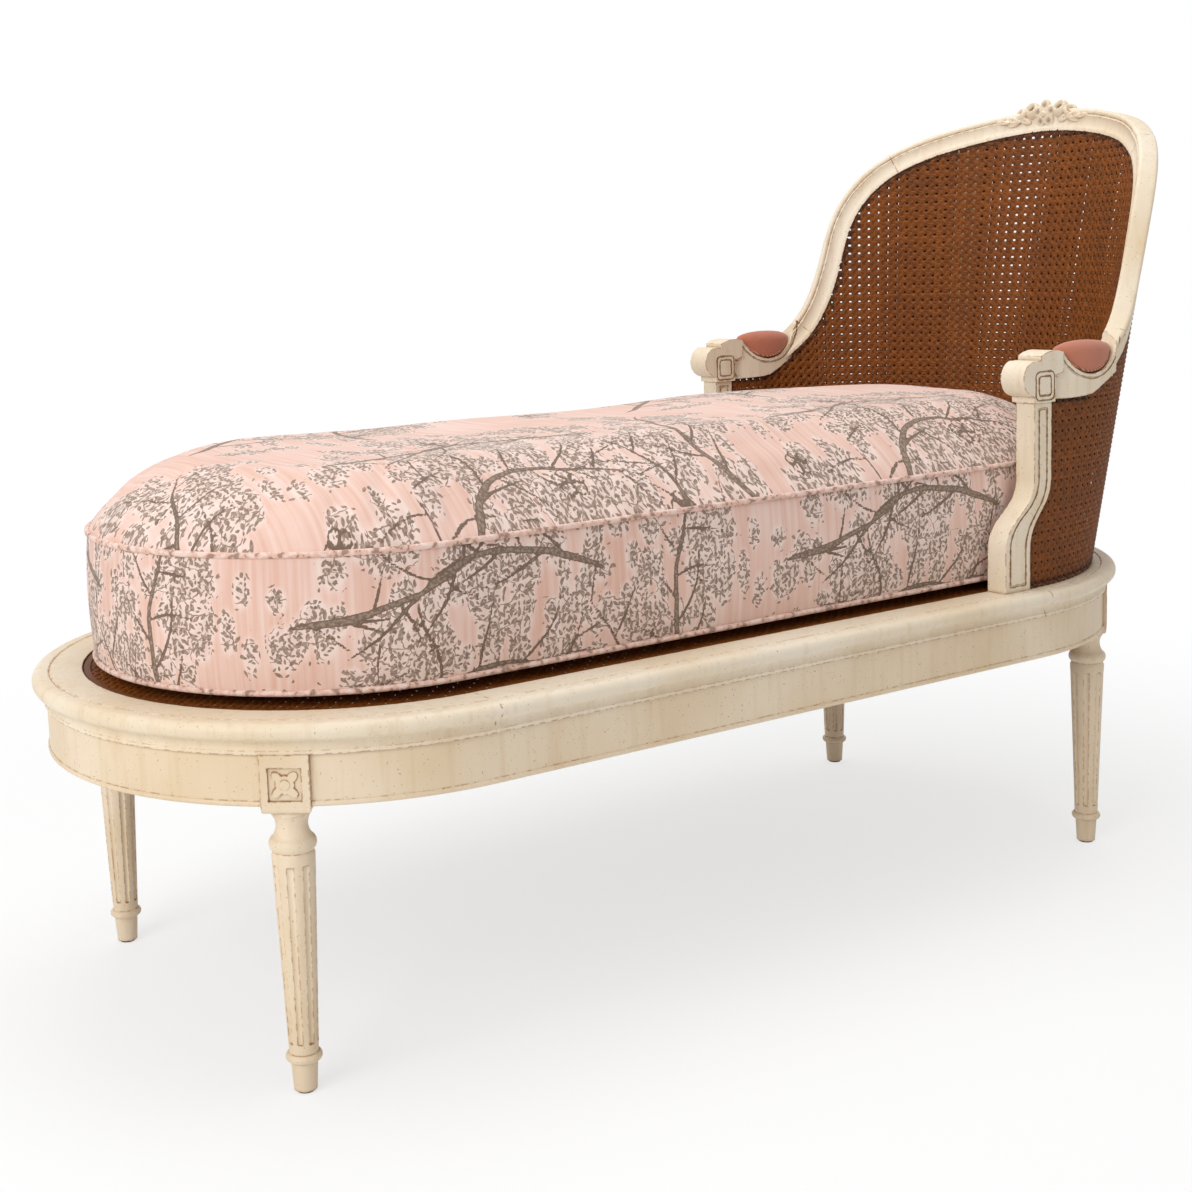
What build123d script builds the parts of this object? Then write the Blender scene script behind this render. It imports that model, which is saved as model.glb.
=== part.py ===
from build123d import *
from math import atan2, cos, radians, sin
import os

os.makedirs("parts", exist_ok=True)

# A meridienne: a long caned seat frame with two round ends on four turned legs, a caned
# barrel back with arms at one end and a loose boxed squab. The x axis runs along the seat
# with the back at the plus end, y runs across, z is up and the floor is at zero. Left is
# plus y for someone who stands at the foot end and looks at the back. The origin lies under
# the middle of the whole piece, so the seat's own middle is a little to the foot side of it.
# Lengths are in mm.

# Seat outline, taken at the outer face of the rails
seat_half_straight = 424.0
apron_radius = 344.0
floor_to_apron = 314.0
apron_height = 55.0
rail_thickness = 27.0
rail_bead_height = 6.0
rail_bead_reach = 2.0
# Moulded seat cap that lies on the rails and carries the cane
cap_height = 34.5
cap_overhang = 15.5
cap_nose_height = 19.0
cap_cove_sink = 2.2
cap_fillet_height = 4.0
cap_fillet_reach = 3.0
cap_land_width = 42.0
cap_ledge_width = 15.0
cap_ledge_drop = 5.0
cap_groove_in = 9.0
cap_groove_width = 3.0
cap_groove_depth = 1.5
# Legs
leg_angle = 52.5
die_size = 51.5
die_proud = 4.0
die_drop = 7.0
die_round = 5.0
panel_size = 35.0
panel_depth = 2.2
rosette_radius = 5.5
petal_length = 15.0
petal_width = 9.0
petal_height = 1.6
leg_band_radius = 21.0
leg_band_height = 5.0
leg_neck_radius = 16.8
leg_neck_drop = 13.0
leg_ring_radius = 25.0
leg_ring_drop = 37.0
leg_ring_half = 7.5
shaft_top_radius = 22.8
shaft_top_drop = 12.0
shaft_low_radius = 15.6
shaft_low_height = 46.0
collar_radius = 19.4
collar_height = 38.8
collar_half = 4.8
foot_top_radius = 14.4
foot_radius = 12.4
glide_height = 2.5
glide_radius = 9.5
flute_count = 8
flute_top_radius = 5.2
flute_low_radius = 3.5
flute_end_margin = 9.0
flute_sink_share = 0.55
# Tenons of the rails in the dies and of the cross rails in the side rails
tenon_thickness = 12.0
tenon_height = 36.0
tenon_length = 16.0
joint_clearance = 0.2
cross_rail_x = 210.0
cross_rail_thickness = 24.0
cross_rail_height = 38.0
cross_rail_dip = 14.0
cross_rail_shoulder = 40.0
cross_tenon_length = 12.0
cross_tenon_height = 22.0
# Seat cane and the binder that covers its holes
cane_thickness = 2.2
cane_edge_gap = 0.5
binder_width = 7.0
binder_thickness = 1.3
binder_inset = 1.5
# Arm supports. Places along x are given from the middle of the head end's half circle
support_width = 30.0
support_base_front = -58.0
support_base_back = -12.0
support_top_front = -4.0
support_top_back = 28.0
support_knee_share = 0.22
support_bend_share = 0.6
support_groove_inset = 7.0
support_groove_width = 3.0
support_groove_depth = 1.5
support_tenon_width = 14.0
support_tenon_depth = 20.0
support_tenon_length = 18.0
# Back and arm rail, which runs from the crest round to the scroll of each arm
arm_inset = 28.0
arm_height = 680.0
back_overhang = 77.0
back_rise = 351.0
rail_run_shares = [
    (1.0, 0.0, 1.0),
    (0.984, 0.216, 0.989),
    (0.939, 0.426, 0.96),
    (0.869, 0.608, 0.917),
    (0.776, 0.764, 0.846),
    (0.681, 0.873, 0.729),
    (0.609, 0.923, 0.581),
    (0.564, 0.935, 0.422),
    (0.517, 0.948, 0.268),
    (0.447, 0.972, 0.13),
    (0.352, 0.995, 0.038),
    (0.235, 1.0, -0.012),
    (0.089, 1.0, -0.03),
    (-0.055, 1.0, -0.03),
]
back_rail_width = 34.0
back_rail_depth = 26.0
rail_edge_bead = 8.0
rail_groove_depth = 2.0
rail_groove_width = 2.5
rail_cove_depth = 2.5
rail_lip = 4.5
top_joint_share = 0.335
arm_joint_share = 0.725
arm_end_share = 0.925
back_base_inset = 29.0
top_stations = 5
stile_stations = 12
arm_stations = 8
back_stations = 27
skin_spacing = 22.0
skin_thickness = 2.4
skin_gap = 0.6
skin_rim_gap = 0.9
board_gap = 0.9
base_rail_height = 22.0
rib_shares = [0.15, 0.175, 0.2]
# Arm scrolls, cradles and pads, with places along x as for the supports
scroll_front = -28.0
scroll_block_front = -7.0
scroll_block_back = 32.0
scroll_width = 38.0
scroll_drop = 34.0
scroll_rise = 20.0
scroll_roll_drop = 23.0
scroll_roll_middle = -12.0
leaf_front = 5.0
leaf_back = 48.0
leaf_rise = 29.0
leaf_swell = 3.0
volute_length = 37.0
volute_height = 39.0
volute_round = 8.0
volute_step = 6.0
volute_line = 2.0
volute_count = 2
volute_depth = 1.8
volute_margin = 2.0
cradle_middle = 105.0
cradle_radius = 60.0
cradle_drop = 3.0
cradle_half_length = 80.0
cradle_half_width = 19.5
cradle_under = 29.0
cradle_under_rise = 3.0
cradle_back = 158.0
cradle_back_drop = 3.0
cradle_top = 45.0
cradle_line_in = 4.5
cradle_line = 2.4
cradle_line_depth = 1.4
pad_gap = 0.4
pad_half_length = 55.0
pad_half_width = 18.5
pad_rise = 42.0
pad_tip_rise = 30.0
pad_side_share = 0.45
pad_round_share = 0.98
pad_stations = 9
# Crest carving on the top rail
crest_petals = 5
crest_eye_radius = 7.0
crest_petal_radius = 9.5
crest_petal_ring = 11.5
crest_forward = 6.0
crest_drop = 4.0
crest_side_shares = [0.035, 0.064]
crest_side_radii = [14.5, 11.0]
crest_side_rise = 1.5
crest_leaf_shares = [0.05, 0.08, 0.104]
crest_leaf_radii = [10.5, 7.5, 2.5]
crest_leaf_sink = 1.0
# Loose squab
cushion_margin = 16.0
cushion_gap = 0.4
cushion_belly = 16.0
cushion_belly_inset = 34.0
cushion_side = 146.0
cushion_bulge = 3.0
cushion_crown = 66.0
crown_inset_shares = [0.13, 0.32, 0.6]
crown_rise_shares = [0.55, 0.88, 1.0]
piping_radius = 3.4
# Dowels and screws
dowel_radius = 4.0
dowel_length = 36.0
dowel_spacing = 16.0
dowel_clearance = 0.15
screw_radius = 2.2
screw_head_radius = 4.6
screw_head_height = 3.6
screw_length = 44.0
screw_rail_gap = 0.8
screw_clearance = 0.15
support_screw_spacing = 30.0
base_screw_count = 5
base_screw_step = 32.0
# One overrun for every cut that has to go past a face
overrun = 20.0

# Heights and radii that follow from the lengths above
cap_bottom = floor_to_apron + apron_height
cap_top = cap_bottom + cap_height
ledge_top = cap_top - cap_ledge_drop
land_inner_radius = apron_radius - cap_land_width
cap_inner_radius = land_inner_radius - cap_ledge_width
rail_inner_radius = apron_radius - rail_thickness
cane_top = ledge_top + cane_thickness
die_bottom = floor_to_apron - die_drop
die_height = cap_bottom - die_bottom
leg_neck_height = die_bottom - leg_band_height - leg_neck_drop
leg_ring_height = die_bottom - leg_ring_drop
shaft_top_height = leg_ring_height - shaft_top_drop
die_radius = apron_radius + die_proud - die_size / 2
arm_y = apron_radius - arm_inset
back_reach = apron_radius + back_overhang
back_base_radius = apron_radius - back_base_inset
cushion_radius = land_inner_radius - cushion_margin
rail_half_width = back_rail_width / 2
rail_half_depth = back_rail_depth / 2
bead_low = rail_half_width - rail_edge_bead
bead_crown = bead_low + rail_edge_bead / 3
back_lean = atan2(back_reach - back_base_radius, arm_height + back_rise - cap_top)
back_far = back_reach + rail_half_depth * cos(back_lean) + bead_crown * sin(back_lean)
middle_x = (apron_radius + cap_overhang - back_far) / 2
arc_x = middle_x + seat_half_straight
scroll_bottom = arm_height - scroll_drop
scroll_top = arm_height + scroll_rise
support_knee = cap_top + (scroll_bottom - cap_top) * support_knee_share
support_bend = cap_top + (scroll_bottom - cap_top) * support_bend_share
support_base_middle = (support_base_front + support_base_back) / 2
support_top_middle = (support_top_front + support_top_back) / 2
cradle_bottom = arm_height - cradle_drop
support_y = land_inner_radius + support_width / 2
skin_offset = skin_spacing / 2
quarter_angle = 90
sides = {"left": 1, "right": -1}
corners = {"foot_left": (-1, 1), "foot_right": (-1, -1), "head_left": (1, 1), "head_right": (1, -1)}


# Level plane at a height over the seat's middle
def level_plane(height):
    return Plane(origin=(middle_x, 0, height), x_dir=(1, 0, 0), z_dir=(0, 0, 1))


# Upright plane along the seat at a distance to the left of its middle line, with its x
# counted from the middle of the head end's half circle
def upright_plane(across):
    return Plane(origin=(arc_x, across, 0), x_dir=(1, 0, 0), z_dir=(0, -1, 0))


# Plane at the floor under one die, with its x axis pointing out of the seat
def die_plane(end, side):
    out_x = end * cos(radians(leg_angle))
    out_y = side * sin(radians(leg_angle))
    foot = (middle_x + end * seat_half_straight + die_radius * out_x, die_radius * out_y, 0)
    return Plane(origin=foot, x_dir=(out_x, out_y, 0), z_dir=(0, 0, 1))


# A moulding drawn as radius and height, run round the whole seat
def seat_run(profile):
    with BuildPart() as run:
        for end in (1, -1):
            center = (middle_x + end * seat_half_straight, 0, 0)
            with BuildSketch(Plane(origin=center, x_dir=(0, -end, 0), z_dir=(-end, 0, 0))):
                add(profile)
            revolve(axis=Axis(center, (0, 0, 1)), revolution_arc=180)
        for side in (1, -1):
            with BuildSketch(Plane(origin=(middle_x, 0, 0), x_dir=(0, side, 0), z_dir=(side, 0, 0))):
                add(profile)
            extrude(amount=seat_half_straight, both=True)
    return run.part


# The plan of the seat, two half circles joined by straights, as a slab
def seat_slab(radius, low, height):
    with BuildPart() as slab:
        with BuildSketch(level_plane(low)):
            SlotCenterToCenter(2 * seat_half_straight, 2 * radius)
        extrude(amount=height)
    return slab.part


# One half of a tenon pair: hand is the side of the die that the rail comes from
def die_tenon(end, side, hand, clearance):
    spot = die_plane(end, side).offset(floor_to_apron + apron_height / 2)
    reach = tenon_length + clearance + overrun / 2
    with BuildPart() as tenon:
        with BuildSketch(spot):
            with Locations((rail_inner_radius + rail_thickness / 2 - die_radius,
                            hand * (die_size / 2 - tenon_length - clearance + reach / 2))):
                Rectangle(tenon_thickness + 2 * clearance, reach)
        extrude(amount=tenon_height / 2 + clearance, both=True)
    return tenon.part


# The die as a plain block, which cuts the rails to their shoulders
def die_block(end, side):
    with BuildPart() as block:
        with BuildSketch(die_plane(end, side).offset(die_bottom - overrun)):
            Rectangle(die_size, die_size)
        extrude(amount=die_height + 2 * overrun)
    return block.part


# Rails: a plain fascia with a small bead along its lower edge
with BuildSketch() as rail_profile:
    with BuildLine():
        inner_line = Polyline(
            (apron_radius, floor_to_apron),
            (rail_inner_radius, floor_to_apron),
            (rail_inner_radius, cap_bottom),
            (apron_radius, cap_bottom),
            (apron_radius, floor_to_apron + rail_bead_height),
        )
        ThreePointArc(
            inner_line @ 1,
            (apron_radius + rail_bead_reach, floor_to_apron + rail_bead_height / 2),
            inner_line @ 0,
        )
    make_face()

with BuildPart() as rail_ring:
    add(seat_run(rail_profile.sketch))
    for end, side in corners.values():
        add(die_block(end, side), mode=Mode.SUBTRACT)

rail_blanks = {
    "rail_foot": rail_ring.solids().sort_by(Axis.X)[0],
    "rail_head": rail_ring.solids().sort_by(Axis.X)[-1],
    "rail_side_left": rail_ring.solids().sort_by(Axis.Y)[-1],
    "rail_side_right": rail_ring.solids().sort_by(Axis.Y)[0],
}
rail_tenons = {
    "rail_foot": [(-1, 1, 1), (-1, -1, -1)],
    "rail_head": [(1, 1, -1), (1, -1, 1)],
    "rail_side_left": [(1, 1, 1), (-1, 1, -1)],
    "rail_side_right": [(1, -1, -1), (-1, -1, 1)],
}


# A cross rail's tenon in a side rail, or its mortise when it is grown by a clearance
def cross_tenon(place, side, clearance):
    low = cap_bottom - cross_rail_height
    with BuildPart() as tenon:
        with BuildSketch(level_plane(low + (cross_rail_height - cross_tenon_height) / 2 - clearance)):
            across = side * (rail_inner_radius + (cross_tenon_length + clearance) / 2)
            with Locations((place * cross_rail_x, across)):
                Rectangle(tenon_thickness + 2 * clearance, cross_tenon_length + clearance)
        extrude(amount=cross_tenon_height + 2 * clearance)
    return tenon.part


for name, blank in rail_blanks.items():
    with BuildPart() as rail:
        add(blank)
        for end, side, hand in rail_tenons[name]:
            add(die_tenon(end, side, hand, 0))
        for place in (1, -1):
            for side in (1, -1):
                add(cross_tenon(place, side, joint_clearance), mode=Mode.SUBTRACT)
    rail.part.label = name
    export_step(rail.part, f"parts/{name}.step")

# Cross rails under the cane, dipped in the middle so that the cane can give
for name, place in {"cross_rail_foot": -1, "cross_rail_head": 1}.items():
    with BuildPart() as cross_rail:
        with BuildSketch(Plane.YZ.offset(middle_x + place * cross_rail_x)):
            with BuildLine():
                ends = Polyline(
                    (cross_rail_shoulder - rail_inner_radius, cap_bottom),
                    (-rail_inner_radius, cap_bottom),
                    (-rail_inner_radius, cap_bottom - cross_rail_height),
                    (rail_inner_radius, cap_bottom - cross_rail_height),
                    (rail_inner_radius, cap_bottom),
                    (rail_inner_radius - cross_rail_shoulder, cap_bottom),
                )
                ThreePointArc(ends @ 1, (0, cap_bottom - cross_rail_dip), ends @ 0)
            make_face()
        extrude(amount=cross_rail_thickness / 2, both=True)
        for side in (1, -1):
            add(cross_tenon(place, side, 0))
    cross_rail.part.label = name
    export_step(cross_rail.part, f"parts/{name}.step")

# Seat cap: land with a groove, round nose, cove and fillet, and a ledge for the cane
nose_low = cap_top - cap_nose_height
with BuildSketch() as cap_profile:
    with BuildLine():
        groove_out = apron_radius + cap_overhang - cap_nose_height / 2 - cap_groove_in
        top_line = Polyline(
            (cap_inner_radius, cap_bottom),
            (cap_inner_radius, ledge_top),
            (land_inner_radius, ledge_top),
            (land_inner_radius, cap_top),
            (groove_out - cap_groove_width, cap_top),
            (groove_out - cap_groove_width / 2, cap_top - cap_groove_depth),
            (groove_out, cap_top),
            (apron_radius + cap_overhang - cap_nose_height / 2, cap_top),
        )
        nose = ThreePointArc(
            top_line @ 1,
            (apron_radius + cap_overhang, cap_top - cap_nose_height / 2),
            (apron_radius + cap_overhang - cap_nose_height / 2, nose_low),
        )
        cove = ThreePointArc(
            nose @ 1,
            (apron_radius + cap_fillet_reach - cap_cove_sink,
             (nose_low + cap_bottom + cap_fillet_height) / 2),
            (apron_radius + cap_fillet_reach, cap_bottom + cap_fillet_height),
        )
        Polyline(
            cove @ 1,
            (apron_radius + cap_fillet_reach, cap_bottom),
            (cap_inner_radius, cap_bottom),
        )
    make_face()


# A support's tenon down into the cap or up into the scroll, or its mortise
def support_tenon(side, height, clearance):
    middle = support_top_middle if height > cap_top else support_base_middle
    with BuildPart() as tenon:
        with BuildSketch(level_plane(height)):
            with Locations((seat_half_straight + middle, side * support_y)):
                Rectangle(support_tenon_depth + 2 * clearance, support_tenon_width + 2 * clearance)
        extrude(amount=support_tenon_length / 2 + clearance, both=True)
    return tenon.part


# Countersunk screws: their shapes, and their holes when they are grown by a clearance
screw_low = cap_bottom
base_screw_y = [step - (base_screw_count - 1) / 2 for step in range(base_screw_count)]
support_screw_x = seat_half_straight + support_base_middle
screw_line_radius = rail_inner_radius - screw_head_radius - screw_clearance - screw_rail_gap


def screws(clearance):
    places = [
        (support_screw_x + along * support_screw_spacing / 2, side * screw_line_radius)
        for along in (-1, 1)
        for side in (1, -1)
    ]
    for step in base_screw_y:
        turn = radians(step * base_screw_step)
        places.append((seat_half_straight + screw_line_radius * cos(turn), screw_line_radius * sin(turn)))
    with BuildPart() as group:
        with BuildSketch(level_plane(screw_low)):
            with Locations(*places):
                Circle(screw_radius + clearance)
        extrude(amount=screw_length + clearance)
        for place in places:
            with BuildSketch(level_plane(screw_low)):
                with Locations(place):
                    Circle(screw_head_radius + clearance)
            with BuildSketch(level_plane(screw_low + screw_head_height)):
                with Locations(place):
                    Circle(screw_radius + clearance)
            loft()
    return group.part


with BuildPart() as cap_ring:
    add(seat_run(cap_profile.sketch))
    add(screws(screw_clearance), mode=Mode.SUBTRACT)
    for side in (1, -1):
        add(support_tenon(side, cap_top, joint_clearance), mode=Mode.SUBTRACT)

for name, end in {"seat_cap_foot": -1, "seat_cap_head": 1}.items():
    with BuildPart() as cap:
        add(cap_ring.part)
        keep_side = Keep.TOP if end > 0 else Keep.BOTTOM
        split(bisect_by=Plane.YZ.offset(middle_x + end * seat_half_straight), keep=keep_side)
    cap.part.label = name
    export_step(cap.part, f"parts/{name}.step")

for name, side in {"seat_cap_left": 1, "seat_cap_right": -1}.items():
    with BuildPart() as cap:
        add(cap_ring.part)
        split(bisect_by=Plane.YZ.offset(middle_x + seat_half_straight), keep=Keep.BOTTOM)
        split(bisect_by=Plane.YZ.offset(middle_x - seat_half_straight), keep=Keep.TOP)
        split(bisect_by=Plane.XZ, keep=Keep.BOTTOM if side > 0 else Keep.TOP)
    cap.part.label = name
    export_step(cap.part, f"parts/{name}.step")

# Seat cane and its binder
with BuildPart() as seat_cane:
    add(seat_slab(land_inner_radius - cane_edge_gap, ledge_top, cane_thickness))
seat_cane.part.label = "seat_cane"
export_step(seat_cane.part, "parts/seat_cane.step")

with BuildPart() as seat_cane_binder:
    binder_radius = land_inner_radius - cane_edge_gap - binder_inset
    add(seat_slab(binder_radius, cane_top, binder_thickness))
    add(seat_slab(binder_radius - binder_width, cane_top - overrun, 2 * overrun), mode=Mode.SUBTRACT)
seat_cane_binder.part.label = "seat_cane_binder"
export_step(seat_cane_binder.part, "parts/seat_cane_binder.step")

# Leg: square die with a sunk panel and rosette, turned neck and ring, fluted taper and foot
leg_side = Plane(origin=(0, 0, 0), x_dir=(1, 0, 0), z_dir=(0, -1, 0))
with BuildPart() as leg_blank:
    with BuildSketch(Plane.XY.offset(die_bottom)):
        Rectangle(die_size, die_size)
    extrude(amount=die_height)
    fillet(leg_blank.faces().sort_by(Axis.Z)[0].edges(), radius=die_round)
    with BuildSketch(leg_side):
        with BuildLine():
            upper = Polyline(
                (0, die_bottom + die_round),
                (leg_band_radius, die_bottom + die_round),
                (leg_band_radius, die_bottom - leg_band_height),
            )
            neck = ThreePointArc(
                upper @ 1,
                (leg_neck_radius, leg_neck_height),
                (leg_band_radius, leg_ring_height + leg_ring_half),
            )
            ring = ThreePointArc(
                neck @ 1,
                (leg_ring_radius, leg_ring_height),
                (leg_band_radius, leg_ring_height - leg_ring_half),
            )
            shaft = Polyline(
                ring @ 1,
                (shaft_top_radius, shaft_top_height),
                (shaft_low_radius, shaft_low_height),
                (shaft_low_radius, collar_height + collar_half),
            )
            collar = ThreePointArc(
                shaft @ 1,
                (collar_radius, collar_height),
                (foot_top_radius, collar_height - collar_half),
            )
            Polyline(collar @ 1, (foot_radius, glide_height), (0, glide_height), (0, die_bottom + die_round))
        make_face()
    revolve(axis=Axis.Z)
    with BuildSketch(Plane(origin=(die_size / 2, 0, (die_bottom + cap_bottom) / 2),
                           x_dir=(0, 1, 0), z_dir=(1, 0, 0))):
        Rectangle(panel_size, panel_size)
    extrude(amount=-panel_depth, mode=Mode.SUBTRACT)
    with BuildSketch(Plane(origin=(die_size / 2 - panel_depth, 0, (die_bottom + cap_bottom) / 2),
                           x_dir=(0, 1, 0), z_dir=(1, 0, 0))):
        with PolarLocations((rosette_radius + petal_length) / 2, 4, start_angle=45):
            Ellipse(petal_length / 2, petal_width / 2)
        with PolarLocations(rosette_radius, 4):
            Circle(petal_width / 2)
        Circle(rosette_radius)
    extrude(amount=petal_height)
    with BuildSketch(Plane(origin=(die_size / 2 - panel_depth, 0, (die_bottom + cap_bottom) / 2),
                           x_dir=(0, 1, 0), z_dir=(1, 0, 0))):
        Circle(rosette_radius)
    extrude(amount=panel_depth)

with BuildPart() as flute:
    with BuildSketch(Plane.XY.offset(shaft_top_height - flute_end_margin)):
        with Locations((shaft_top_radius + flute_top_radius * flute_sink_share, 0)):
            Circle(flute_top_radius)
    with BuildSketch(Plane.XY.offset(shaft_low_height + flute_end_margin)):
        with Locations((shaft_low_radius + flute_low_radius * flute_sink_share, 0)):
            Circle(flute_low_radius)
    loft()

with BuildPart() as fluted_leg:
    add(leg_blank.part)
    with PolarLocations(0, flute_count):
        add(flute.part, mode=Mode.SUBTRACT)

for name, (end, side) in corners.items():
    with BuildPart() as leg:
        with Locations(die_plane(end, side).location):
            add(fluted_leg.part)
        for hand in (1, -1):
            add(die_tenon(end, side, hand, joint_clearance), mode=Mode.SUBTRACT)
    leg.part.label = f"leg_{name}"
    export_step(leg.part, f"parts/leg_{name}.step")

with BuildPart() as foot_glides:
    for end, side in corners.values():
        with BuildSketch(die_plane(end, side)):
            Circle(glide_radius)
    extrude(amount=glide_height)
foot_glides.part.label = "foot_glides"
export_step(foot_glides.part, "parts/foot_glides.step")

# Middle line of the back and arm rail on the left, from the crest to the arm
with BuildLine() as run_line:
    Spline(
        *[
            (arc_x + back_reach * ahead, arm_y * across, arm_height + back_rise * up)
            for ahead, across, up in rail_run_shares
        ],
        tangents=((0, 1, 0), (-1, 0, 0)),
    )
rail_run = run_line.edges()[0]


# Where a point of the back stands in plan: straight out from the seat's middle line
def outward(point):
    if point.X <= arc_x:
        return Vector(0, 1, 0)
    return Vector(point.X - arc_x, point.Y, 0).normalized()


# Section plane of the rail: x points out through the back, y to the rail's outer edge
def rail_plane(share, side):
    point = rail_run @ share
    along = rail_run % share
    out = outward(point)
    foot = Vector(min(point.X, arc_x), 0, cap_top) + out * back_base_radius
    level = Vector(-out.Y, out.X, 0)
    face = level.cross(point - foot).normalized()
    face = (face - along * face.dot(along)).normalized()
    edge = face.cross(along)
    origin = Vector(point.X, point.Y * side, point.Z)
    x_dir = Vector(face.X, face.Y * side, face.Z)
    y_dir = Vector(edge.X, edge.Y * side, edge.Z)
    return Plane(origin=origin, x_dir=x_dir, z_dir=x_dir.cross(y_dir))


# Moulded section of the rail: lip, cove, groove and bead inside, a bead and flat outside
with BuildSketch() as rail_section:
    cove_middle = (rail_lip - rail_half_width + bead_low - rail_groove_width) / 2
    with BuildLine():
        lip = Polyline(
            (rail_half_depth, bead_low - rail_groove_width),
            (rail_half_depth, -rail_half_width),
            (-rail_half_depth, -rail_half_width),
            (-rail_half_depth, rail_lip - rail_half_width),
        )
        cove_in = ThreePointArc(
            lip @ 1,
            (rail_cove_depth - rail_half_depth, cove_middle),
            (-rail_half_depth, bead_low - rail_groove_width),
        )
        step_in = Line(cove_in @ 1, (rail_groove_depth - rail_half_depth, bead_low))
        bead_in = ThreePointArc(
            step_in @ 1,
            (-rail_half_depth, bead_crown),
            (rail_edge_bead / 2 - rail_half_depth, rail_half_width),
        )
        back_edge = Line(bead_in @ 1, (rail_half_depth - rail_edge_bead / 2, rail_half_width))
        bead_out = ThreePointArc(
            back_edge @ 1,
            (rail_half_depth, bead_crown),
            (rail_half_depth - rail_groove_depth, bead_low),
        )
        Line(bead_out @ 1, lip @ 0)
    make_face()


# A length of the rail lofted through its section at the given shares of the run
def rail_length(stations):
    with BuildPart() as length:
        for share, side in stations:
            with BuildSketch(rail_plane(share, side)):
                add(rail_section.sketch)
        loft()
    return length.part


# Two dowels across a joint of the rail, or their holes when grown by a clearance
def joint_dowels(share, side, clearance):
    with BuildPart() as dowels:
        with BuildSketch(rail_plane(share, side)):
            with GridLocations(0, dowel_spacing, 1, 2):
                Circle(dowel_radius + clearance)
        extrude(amount=dowel_length / 2 + clearance, both=True)
    return dowels.part


def even_shares(first, last, count):
    return [first + (last - first) * step / (count - 1) for step in range(count)]


top_shares = even_shares(top_joint_share, 0, top_stations)
with BuildPart() as top_rail:
    add(rail_length([(share, -1) for share in top_shares] + [(share, 1) for share in top_shares[-2::-1]]))
    for side in sides.values():
        add(joint_dowels(top_joint_share, side, dowel_clearance), mode=Mode.SUBTRACT)
top_rail.part.label = "top_rail"
export_step(top_rail.part, "parts/top_rail.step")

for hand, side in sides.items():
    with BuildPart() as stile:
        stile_shares = even_shares(top_joint_share, arm_joint_share, stile_stations)
        add(rail_length([(share, side) for share in stile_shares]))
        for share in (top_joint_share, arm_joint_share):
            add(joint_dowels(share, side, dowel_clearance), mode=Mode.SUBTRACT)
    stile.part.label = f"back_stile_{hand}"
    export_step(stile.part, f"parts/back_stile_{hand}.step")

with BuildPart() as frame_dowels:
    for side in sides.values():
        for share in (top_joint_share, arm_joint_share):
            add(joint_dowels(share, side, 0))
frame_dowels.part.label = "frame_dowels"
export_step(frame_dowels.part, "parts/frame_dowels.step")


# Arm seen from the side, from its underside at a distance lower to well above the pad
def cradle_outline(lower):
    with BuildSketch(mode=Mode.PRIVATE) as outline:
        with BuildLine():
            under = ThreePointArc(
                (leaf_front, arm_height - cradle_under - lower),
                ((leaf_front + cradle_middle) / 2, arm_height - cradle_under - cradle_under_rise - lower),
                (cradle_middle, arm_height - cradle_under - lower),
            )
            heel = Line(under @ 1, (cradle_back + lower, arm_height - cradle_back_drop - lower))
            Polyline(
                heel @ 1,
                (cradle_back + lower, arm_height + cradle_top),
                (leaf_back, arm_height + leaf_rise),
                (leaf_front, arm_height + leaf_rise - leaf_swell),
                under @ 0,
            )
        make_face()
    return outline.sketch


# Round bar across the arm: its underside is the hollow that the pad lies in
def cradle_round(grown):
    with BuildPart() as bar:
        with BuildSketch(upright_plane(0)):
            with Locations((cradle_middle, cradle_bottom + cradle_radius)):
                Circle(cradle_radius + grown)
        extrude(amount=arm_y + cradle_half_width + overrun, both=True)
    return bar.part


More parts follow.
